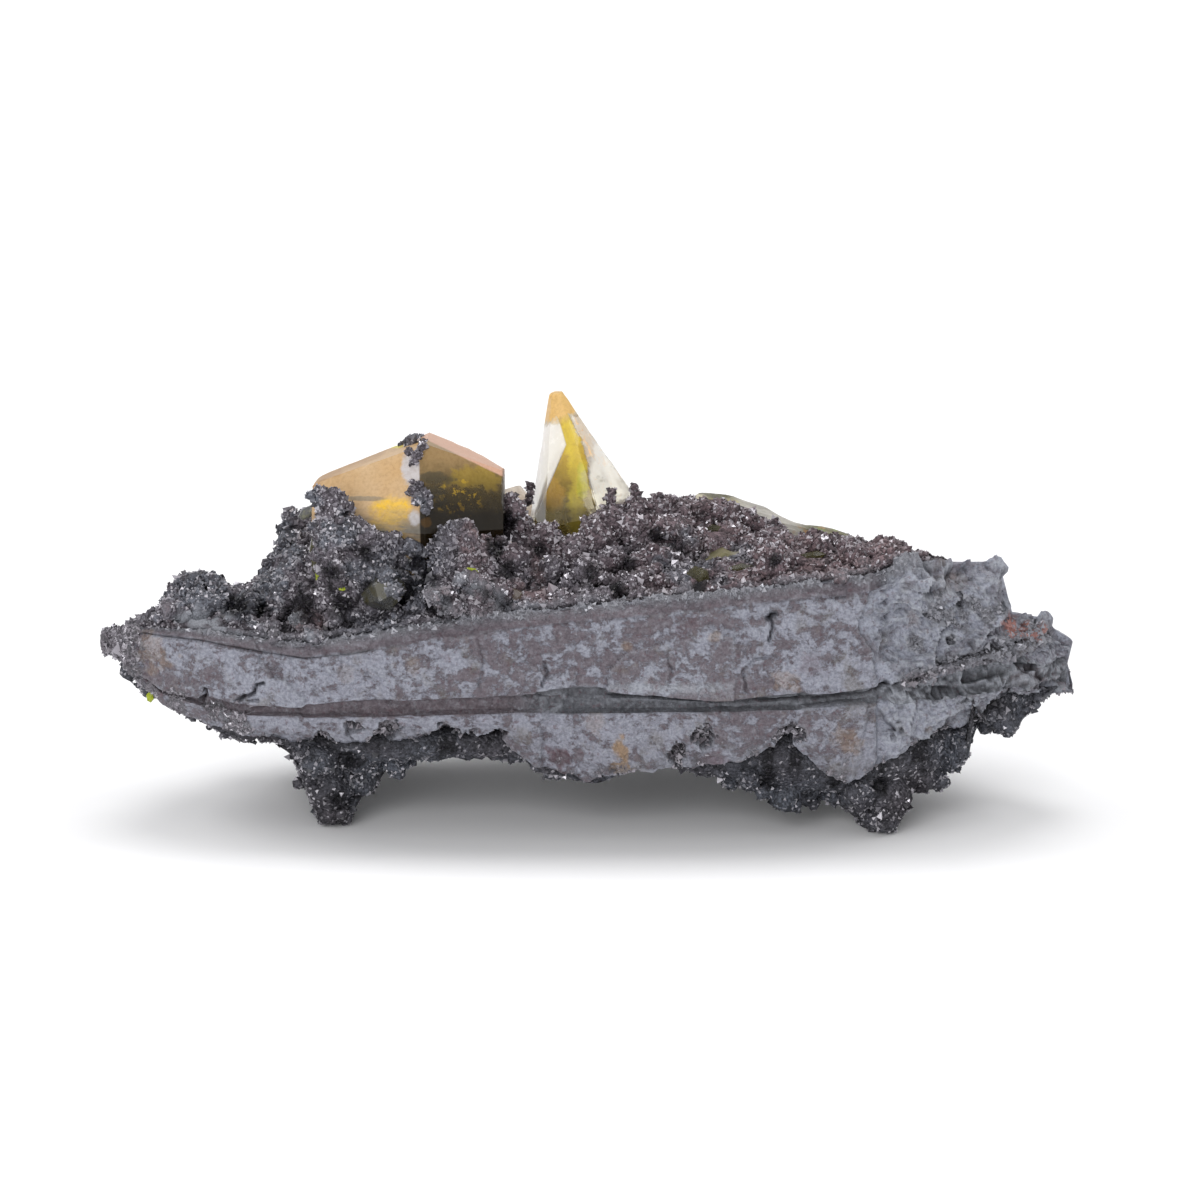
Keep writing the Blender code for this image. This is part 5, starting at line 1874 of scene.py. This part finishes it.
# Patches of the crusts; DEEP_SPOTS and LOWER_DEEP mark painted shade, and DEEP_SPOTS also sink the
# upper blanket
COOL_SPOTS = spots(
    (-26.9, 14.1, 2.6), (-23.5, 13.4, 1.7), (-17.2, 18.5, 1.7), (-21, 18, 1.4), (-21.9, 14.6, 1.5),
    (-13.9, 15.6, 1.1), (-16.4, 15.9, 1), (-8.7, 14.8, 0.8), (6.7, 16.8, 1.7), (10.5, 17.1, 0.8),
    (9.3, 15.1, 0.8), (-11.7, 20.7, 0.6), (-4.7, 13.3, 1), (-3, 20, 0.6), (-19.5, 20.6, 1.2))
ROSY_CRUST = spots(
    (-4.2, 14.6, 1.4), (18.2, 15.8, 0.8), (20.2, 17.5, 1), (16.4, 16.6, 1.1), (-8.2, 18, 1),
    (3.6, 13.8, 1.1), (11.9, 14.5, 1.1), (19.2, 16.8, 0.5), (-19.5, 12.1, 1), (-10.1, 13.9, 0.8),
    (14.3, 18, 1, 0.5), (16, 15.6, 1.2, 0.7), (18.8, 16.1, 1.5, 0.7), (20.6, 16.9, 1, 0.6))
DEEP_SPOTS = spots(
    (-20, 13.4, 1.2), (-16.9, 13.2, 1), (-14, 13.8, 0.7), (-9.6, 13.6, 0.7), (-5.3, 19.5, 0.6),
    (-5.4, 15.8, 0.6), (4.7, 18.2, 0.6), (-10.8, 15.3, 0.7), (-12, 16.6, 0.6), (0.1, 15.6, 0.7),
    (2.2, 14.5, 0.6), (-17.9, 14.5, 0.6), (7.8, 14.8, 0.5), (-6.4, 17.4, 0.6), (-3.4, 17.6, 0.5),
    (-22.6, 13, 0.6), (-8.4, 14.5, 0.5), (-7, 14.2, 0.7), (-5.9, 13.5, 0.6), (-15.6, 17.2, 0.5),
    (6, 17.9, 0.5), (12.8, 16.6, 0.5), (-17.6, 15.7, 0.8), (-12.8, 14.2, 0.8), (-24.2, 13.4, 0.8),
    (-15.2, 14.6, 0.6), (-10.6, 18.2, 0.5), (2.9, 16.4, 0.5))
BARE_SPOTS = spots((-27.2, 12.2, 1), (-25.9, 11.7, 0.9), (-24.6, 11.2, 0.7), (-28.3, 12.7, 0.6))
LOWER_DEEP = spots(
    (-16.6, 1.8, 0.7), (-14.6, 3.2, 0.6), (-10, 3, 0.7), (-6.8, 3.2, 0.5), (14.6, 2.4, 1.1),
    (17.4, 1, 0.7), (20.4, 0.4, 0.6), (12.6, 0.8, 0.8), (-17.6, -0.6, 0.5), (23, 2.6, 0.8),
    (27.8, 6.8, 0.9))
# Lumps that cling to the crystals: the place that the eye sees, the radius and the share of it that
# they stand out
CLINGING = (
    (-12.75, 25.2, 0.22, 0.3), (-12.4, 25.3, 0.36, 0.1), (-12, 24.9, 0.5, 0.1),
    (-11.6, 25.3, 0.32, 0.1), (-12.3, 24.4, 0.36, 0.2), (-11.8, 24.1, 0.42, 0.1),
    (-11.4, 24.6, 0.36, 0.1), (-11.9, 23.6, 0.26, 0.1), (-12.8, 24.8, 0.24, 0.1),
    (-11.3, 25, 0.28, 0.1), (-12.1, 22.2, 0.24, 0.2), (-11.6, 22, 0.36, 0.2),
    (-11.9, 21.6, 0.38, 0.2), (-11.3, 21.4, 0.36, 0.2), (-11.5, 21, 0.4, 0.2),
    (-11.1, 20.6, 0.3, 0.1), (-11.8, 20.7, 0.28, 0.1), (-11.3, 20.1, 0.28, 0.1),
    (-10.9, 21, 0.2, 0.1), (-12.3, 21.3, 0.2, 0.1), (7.8, 20, 1, -0.2), (8.8, 19.8, 1, -0.1),
    (9.9, 19.6, 1, -0.1), (10.9, 19.2, 1, -0.1), (11.9, 18.7, 1, -0.1), (12.9, 18.1, 1, -0.1),
    (13.9, 17.4, 1, -0.1), (14.7, 16.8, 0.9, -0.1), (15.8, 16.6, 0.9, -0.1), (17, 16.4, 0.9, -0.1),
    (18.2, 16.3, 0.9, -0.1), (8.2, 18.7, 1, -0.1), (10, 18.2, 1, -0.1), (11.6, 17.2, 1, -0.1),
    (6.8, 20.5, 0.8, -0.2), (-12.9, 17.7, 0.6, 0), (-12, 17.4, 0.7, 0), (-13.9, 17.9, 0.6, 0),
    (-11, 17.4, 0.6, 0), (-14, 15.4, 0.6, 0.1), (-13.2, 15.9, 0.6, 0.1), (-15.2, 15, 0.5, 0.1),
    (-13.4, 14.4, 0.6, 0.1), (-12.5, 16.4, 0.5, 0.1), (-13.9, 16.2, 0.5, 0),
    (-12.6, 15.2, 0.4, 0.2), (-13, 16.9, 0.45, 0.1), (-11.6, 16.3, 0.7, 0), (-11.5, 15.4, 0.6, 0),
    (-7, 17.6, 0.8, 0), (-6.2, 17.7, 0.6, 0), (-7.9, 17.5, 0.7, 0))
# Places where grains and knobs are few, so that tiny crystals and bare rock show
THIN_SPOTS = BARE_SPOTS + spots(
    (9, 18.5, 0.7), (7.6, 15.3, 0.65), (10.5, 15.9, 0.55), (13.2, 15.7, 0.35), (15.4, 16.8, 0.5),
    (-17.07, 14.55, 0.3), (-18.72, 15.5, 0.35), (-18.77, 16.6, 0.45), (-11.5, 16.3, 0.4),
    (-8.1, 15.84, 0.45), (-5.9, 16.1, 0.35), (0.84, 17.7, 0.4), (8.9, 17.3, 0.3))
CHIPS = tuple(Chip(*row) for row in (
    (9, 18.5, 1.15, 0.7, Kind.OLIVE, -10), (8.9, 17.25, 0.5, 0.3, Kind.OLIVE, -15),
    (7.6, 15.3, 1.05, 0.95, Kind.OLIVE), (7.9, 15.5, 0.3, 0.5, Kind.BROWN, 0, -0.1),
    (10.55, 15.9, 1.1, 0.5, Kind.OLIVE, 8), (13.2, 15.7, 0.6, 0.35, Kind.GREY, -20),
    (15.4, 16.8, 1.2, 0.45, Kind.OLIVE, 12), (15.8, 17, 0.3, 0.2, Kind.BROWN, 0, 0),
    (-30.56, 6.8, 0.3, 0.45, Kind.LIME, 0, 0), (-17.07, 14.55, 0.28, 0.35, Kind.LIME, 0, -0.2),
    (-18.72, 15.4, 0.2, 0.6, Kind.LIME, 8, -0.3), (-18.9, 16.8, 0.4, 1.5, Kind.OLIVE, 6, -0.2),
    (-11.5, 16.3, 1.15, 0.5, Kind.GREY, -18), (-14.8, 14.3, 0.9, 0.7, Kind.GREY, -25),
    (-14.5, 14.7, 0.45, 0.25, Kind.OLIVE, -20, -0.2), (-8.1, 15.84, 0.6, 0.28, Kind.LIME, -10, 0),
    (-5.9, 16.1, 0.3, 0.32, Kind.AMBER), (-5.06, 13.7, 0.75, 1, Kind.BROWN),
    (0.84, 17.7, 0.42, 0.5, Kind.LIME, 0, 0), (0.7, 18.2, 0.5, 0.4, Kind.OLIVE),
    (-19.4, 20, 0.8, 0.45, Kind.GREY, 35), (-7.5, 18, 0.5, 0.4, Kind.OLIVE),
    (-6.2, 20.4, 0.35, 0.8, Kind.OLIVE), (5, 16.6, 0.35, 0.25, Kind.OLIVE),
    (-13.3, 17, 0.3, 0.3, Kind.AMBER), (-0.9, 19.5, 0.3, 0.4, Kind.OLIVE)))

STALKS = (
    (-3.98, -1, 22.2, 0.3), (-4, -1, 21.6, 0.32), (-4.1, -1.1, 21.1, 0.28), (3.2, -1, 22, 0.26),
    (3.3, -1.1, 21.5, 0.3), (1.66, -2.6, 22.1, 0.3), (1.6, -2.7, 21.6, 0.34), (1.5, -2.8, 21, 0.4),
    (-5.3, -5, 22, 0.5), (-4.9, -5.6, 21.4, 0.6), (-5.1, -5.3, 20.8, 0.6), (-4.6, -5.6, 20.3, 0.7))
UPPER_LUMPS = (
    # Left knob
    (-28.3, -6, 15.8, 1.3), (-27.1, -5.5, 16.1, 1.5), (-25.8, -5, 16.1, 1.5),
    (-24.9, -6, 15.3, 1.4), (-23.6, -7, 15, 1.3), (-22.4, -3, 15.2, 1.2), (-27.6, -8, 15, 1.2),
    (-25.9, -8, 14.9, 1.2), (-26.4, -1.6, 14.6, 1.5), (-23.8, 1.6, 14.6, 1.6),
    # Left back
    (-20.4, 4, 18.3, 1.1), (-20.8, 3, 17, 1.6), (-19.6, 3.5, 16.9, 1.6), (-20.3, 1, 15.6, 1.8),
    (-18.7, 0, 15.8, 1.6), (-21.5, -3, 15.2, 1.4), (-18, 5.6, 15.9, 1.7), (-15.4, 6.4, 16.3, 1.8),
    # Crystal climber
    (-17.4, -9, 23.2, 0.9), (-17.1, -9.4, 22, 1.1), (-16.2, -9.6, 20.9, 1.3),
    (-14.9, -9.6, 20.4, 1.3), (-13.8, -9.3, 20.9, 0.8), (-16, -9.8, 19.2, 1.3),
    (-14.5, -9.8, 18.9, 1.1), (-16.9, -9.6, 17.8, 1.2),
    # Left front
    (-20.2, -8, 16.7, 1.3), (-18.7, -9.5, 16, 1.2), (-19.3, -11, 15, 1), (-16.9, -11.6, 15.4, 1),
    # Front pillar
    (-8.5, -10.5, 21.3, 0.9), (-9.1, -10.7, 20.5, 1), (-8.2, -10.8, 19.9, 1.1),
    (-7.2, -10.4, 19.6, 0.9), (-7.9, -11, 18.7, 1.2), (-7.3, -12, 17.2, 1.1), (-9.5, -12, 17.2, 1),
    (-5.9, -11.8, 17.3, 1),
    # Crystal gap
    (-4.9, -3.4, 20, 1), (-4.6, -5, 19, 1.1), (-3.9, -7, 18.2, 1.2), (-5, -9, 18.5, 1.1),
    # Spire foot
    (-2.9, -6, 19.2, 1.1), (-1.2, -6.5, 18.8, 1.2), (0.6, -5.4, 19.5, 1.1), (-2.5, -9, 18, 1.2),
    (-0.2, -9.5, 17.8, 1.2), (1.6, -8, 18.4, 1.2),
    # Mound
    (1.5, -3.6, 20.2, 1.2), (3.4, -2, 20, 1.3), (5, -1.6, 20, 1.2), (6.4, -1.8, 19.7, 1.2),
    (3.6, -4.2, 19.5, 1.5), (5.8, -4.2, 19.3, 1.4), (9.5, -2.2, 18.8, 1.2), (4.6, -8, 18.4, 1.3),
    (9.2, -5.4, 18.1, 1.2), (11.2, -4.4, 18.2, 1.3), (13.2, -4.8, 17.8, 1.4),
    (15.2, -4.8, 17.7, 1.3), (3.5, -11, 17.4, 1.1), (10.7, -8.4, 17.6, 1.2), (12.9, -9, 17.4, 1.1),
    (17.3, -4.2, 17.6, 1.3),
    # Right crest
    (19, -4.6, 17.9, 1.2), (20.6, -5.4, 18.5, 1.2), (21.6, -7.4, 18.6, 1), (17.8, -8, 17.7, 1.1),
    (20.4, -1.6, 17, 1.4),
    # Ridge rim
    (2.8, 4.8, 17.8, 1.6), (4.4, 8.4, 16.6, 1.6), (8, 10.6, 15.6, 1.5), (12.8, 10.4, 15.4, 1.4),
    (17.4, 7.2, 14.6, 1.5), (20.4, 4.4, 14.4, 1.5),
    # Back rim
    (-11.4, 6.6, 17, 1.7), (-8, 7.6, 16.8, 1.7), (-4.6, 9.4, 16, 1.6), (-0.4, 8.2, 17, 1.6),
    (-1.8, 11.6, 15, 1.4), (-12.6, 9.2, 14.8, 1.4))
LOWER_LUMPS = (
    # Left foot
    (-17.5, -7.7, 1, 1.9), (-17.8, -8.8, 3, 1.7), (-16.4, -7.2, 3.6, 2.1), (-18.4, -7.8, 5, 1.9),
    (-15.4, -8.4, 4.6, 1.6),
    # Right foot
    (20.2, -9.6, 1, 1.8), (18.5, -8.8, 2.8, 1.7), (16.6, -8.4, 3.1, 1.8), (14.2, -8.8, 3.2, 1.7),
    (12, -9, 4, 1.7), (22.7, -8, 3.8, 1.8), (24.6, -7.6, 5.4, 1.7), (19.4, -6.2, 3, 2),
    (16.2, -5.8, 4.2, 1.8),
    # Back feet
    (-17, 6.2, 1, 1.9), (-16.2, 5.2, 4.2, 1.9), (-17.6, 7, 4.6, 1.8), (13.5, 7, 1, 1.9),
    (14.2, 6, 4.4, 1.8), (12.4, 8, 4.8, 1.8),
    # Hanging end
    (28.2, -6.6, 6.9, 1.2), (29.5, -6, 6.4, 1.3), (30.7, -5.2, 7.4, 1))


# The studio


@dataclass
class Studio:
    """A white floor, a bright sky, soft lamps high behind, a fill in front and the camera."""

    elevation: float = 14.0
    distance: float = 330.0
    target: tuple = (0.84, -12.0, 16.76)
    lens: float = 147.9
    sensor: float = 36.0
    sky: float = 0.58
    high_lamp: float = 0.85
    softness: float = 30.0
    # Degrees to the left and right at which the three high lamps lean, and all of them to the back
    leans: tuple = (-42.0, 0.0, 42.0)
    behind: float = 19.0
    fill: float = 1.25
    # Half the floor's width in metres
    floor: float = 2.5

    def lamp(self, name: str, kind: str, energy: float, towards: Vector) -> bpy.types.Object:
        """A lamp of this kind and strength that shines towards a direction."""
        light = bpy.data.lights.new(name, kind)
        light.energy = energy
        lamp = bpy.data.objects.new(name, light)
        bpy.context.scene.collection.objects.link(lamp)
        lamp.rotation_euler = towards.to_track_quat("-Z", "Y").to_euler()
        return lamp

    def build(self) -> None:
        """Builds the floor, the lamps, the camera and the world."""
        mesh = bpy.data.meshes.new("floor")
        corners = [(x * self.floor, y * self.floor, 0)
                   for x, y in ((-1, -1), (1, -1), (1, 1), (-1, 1))]
        mesh.from_pydata(corners, [], [(0, 1, 2, 3)])
        floor = bpy.data.objects.new("floor", mesh)
        bpy.context.scene.collection.objects.link(floor)
        s = Shader("white_floor")
        mesh.materials.append(s.finish(s.principled(Base_Color=(0.9, 0.9, 0.91), Roughness=0.9,
                                                    Specular_IOR_Level=0.1)))
        world = bpy.data.worlds.new("studio")
        world.use_nodes = True
        sky = world.node_tree.nodes["Background"].inputs
        sky["Color"].default_value, sky["Strength"].default_value = (1, 1, 1, 1), self.sky
        bpy.context.scene.world = world
        back = math.radians(self.behind)
        for number, lean in enumerate(self.leans):
            aside = math.tan(math.radians(lean))
            high = self.lamp(f"high_lamp_{number + 1}", "SUN", self.high_lamp,
                             Vector((aside * math.cos(back), -math.sin(back), -math.cos(back))))
            high.data.angle = math.radians(self.softness)
        place = Vector((-120, -430, 170))
        front = self.lamp("front_fill", "AREA", self.fill, Vector((0, 0, 12)) - place)
        front.location = place * MM
        front.data.size = 0.3
        camera = bpy.data.objects.new("camera", bpy.data.cameras.new("camera"))
        bpy.context.scene.collection.objects.link(camera)
        camera.data.lens = self.lens
        camera.data.sensor_width = self.sensor
        camera.data.clip_start = 0.01
        camera.data.clip_end = 10
        tilt = math.radians(self.elevation)
        towards = Vector((0, math.cos(tilt), -math.sin(tilt)))
        camera.location = (Vector(self.target) - towards * self.distance) * MM
        camera.rotation_euler = towards.to_track_quat("-Z", "Y").to_euler()
        bpy.context.scene.camera = camera
        bpy.context.scene.view_settings.view_transform = "Standard"


LARGE_FINISH = LargeFinish("amber_crystal", (0.93, 0.78, 0.34), (0.5, 0.34, 0.04), 620)
SPIRE_FINISH = SpireFinish("golden_crystal", (0.97, 0.88, 0.6), (0.9, 0.8, 0.35), 60)
RIDGE_FINISH = RidgeFinish("olive_crystal", (0.8, 0.75, 0.35), (0.42, 0.38, 0.05), 420)
SMOKY_FINISH = SmokyFinish("smoky_crystal", (0.7, 0.68, 0.5), (0.4, 0.38, 0.2), 500)
CREAM_FINISH = CreamFinish("cream_crystal", (0.95, 0.9, 0.8), (0.9, 0.8, 0.6), 60)
PURPLE_CRUST = CrustFinish(
    "purple_crust", (0.16, 0.115, 0.13), (0.145, 0.155, 0.185), (0.02, 0.016, 0.019))
CHARCOAL_CRUST = CrustFinish(
    "charcoal_crust", (0.088, 0.08, 0.092), (0.098, 0.108, 0.132), (0.014, 0.014, 0.017))


def rim_grains(slab: Shape, count: int, seed: int) -> Shape:
    """Loose grains on the rock where its attribute druse asks for them.

    Args:
        slab: the rock's skin.
        count: how many grains.
        seed: seed of the choice.

    Returns:
        The shape, with the attributes of a crust.
    """
    chance = np.clip(slab.values["druse"][slab.faces].mean(axis=1) - 0.25, 0, 1)
    places, way = scattered_on(slab, count, seed, chance)
    shape = tetrahedra(places + way * 0.04, seed + 1, 0.13, 0.35)
    level = np.full(len(shape.points), 0.55)
    upper = ease((shape.points[:, 2] - 11.5) / 1) * ease((shape.points[:, 0] + 30) / 2)
    shape.values.update(cool=level, rosy=level * 0.25, deep=level * 0, open=level,
                        bare=0.15 + 0.65 * upper)
    return shape


def main() -> None:
    """Builds the specimen in its studio."""
    logging.basicConfig(level=logging.INFO, format="%(message)s")
    Studio().build()
    form = SlabForm()
    slab = Slab(form)
    rock = slab.build()
    slab.dress(rock)
    rim_grains(rock, 14000, 91).make("rim_grains", Slot.UPPER, PURPLE_CRUST.material(True), False)
    crystals = [
        Crystal(form, "large_crystal", "sturmanite_large", LARGE_FINISH, (-10.9, -3.9, 20.35), 5.65,
                (1, 0, 0), -5, (7.8, 5.2), 20.5, 0.03, 16, LARGE_BROKEN),
        Crystal(form, "spire_crystal", "sturmanite_spire", SPIRE_FINISH, (-0.2, 0.5, 20.2), 3.5,
                (-0.225, 0, 0.974), -14, (7, 8.4), 19.5, 0.02, 12, SPIRE_BROKEN),
        Crystal(form, "ridge_crystal", "sturmanite_ridge", RIDGE_FINISH, (8.3, 3, 15.1), 5.65,
                (0.99, 0, 0.14), 0, (2.3, 10.8), 24, 0.16, 14, RIDGE_BROKEN),
        Crystal(form, "sunken_crystal", "sturmanite_sunken", RIDGE_FINISH, (9.4, -6.3, 16.7), 2.3,
                (0.995, 0, 0.1), 0, (3.2, 4.2), 24, 0.05, 8),
        Crystal(form, "front_small_crystal", "sturmanite_front_small", SMOKY_FINISH,
                (-13.6, -11.5, 17.2), 1.15, (0.86, -0.34, 0.38), 18, (1.5, 1.3), 24, 0.02, 6),
        Crystal(form, "back_small_crystal", "sturmanite_back_small", CREAM_FINISH,
                (-4.7, 5.3, 18), 1.7, (-0.25, 0.3, 0.92), 12, (3, 2.6), 24, 0.02, 6),
    ]
    for crystal in crystals:
        crystal.build()
    upper = Crust(form, Side.UP, Slot.UPPER, PURPLE_CRUST,
                  ("upper_druse", "crystal_top_druse", "crystal_edge_druse"), UPPER_LUMPS, crystals,
                  scatter=150, scatter_seed=11, knobs=1850, grains=75000, grain_pieces=2)
    upper.build()
    Chips(upper, CHIPS).build()
    Crust(form, Side.DOWN, Slot.LOWER, CHARCOAL_CRUST, ("lower_druse",), LOWER_LUMPS, [],
          scatter=110, scatter_seed=12, knobs=700, grains=29000, grain_pieces=1, rows=240,
          columns=56, seed=51).build()
    bpy.context.view_layer.update()
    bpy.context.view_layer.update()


if __name__ == "__main__":
    main()
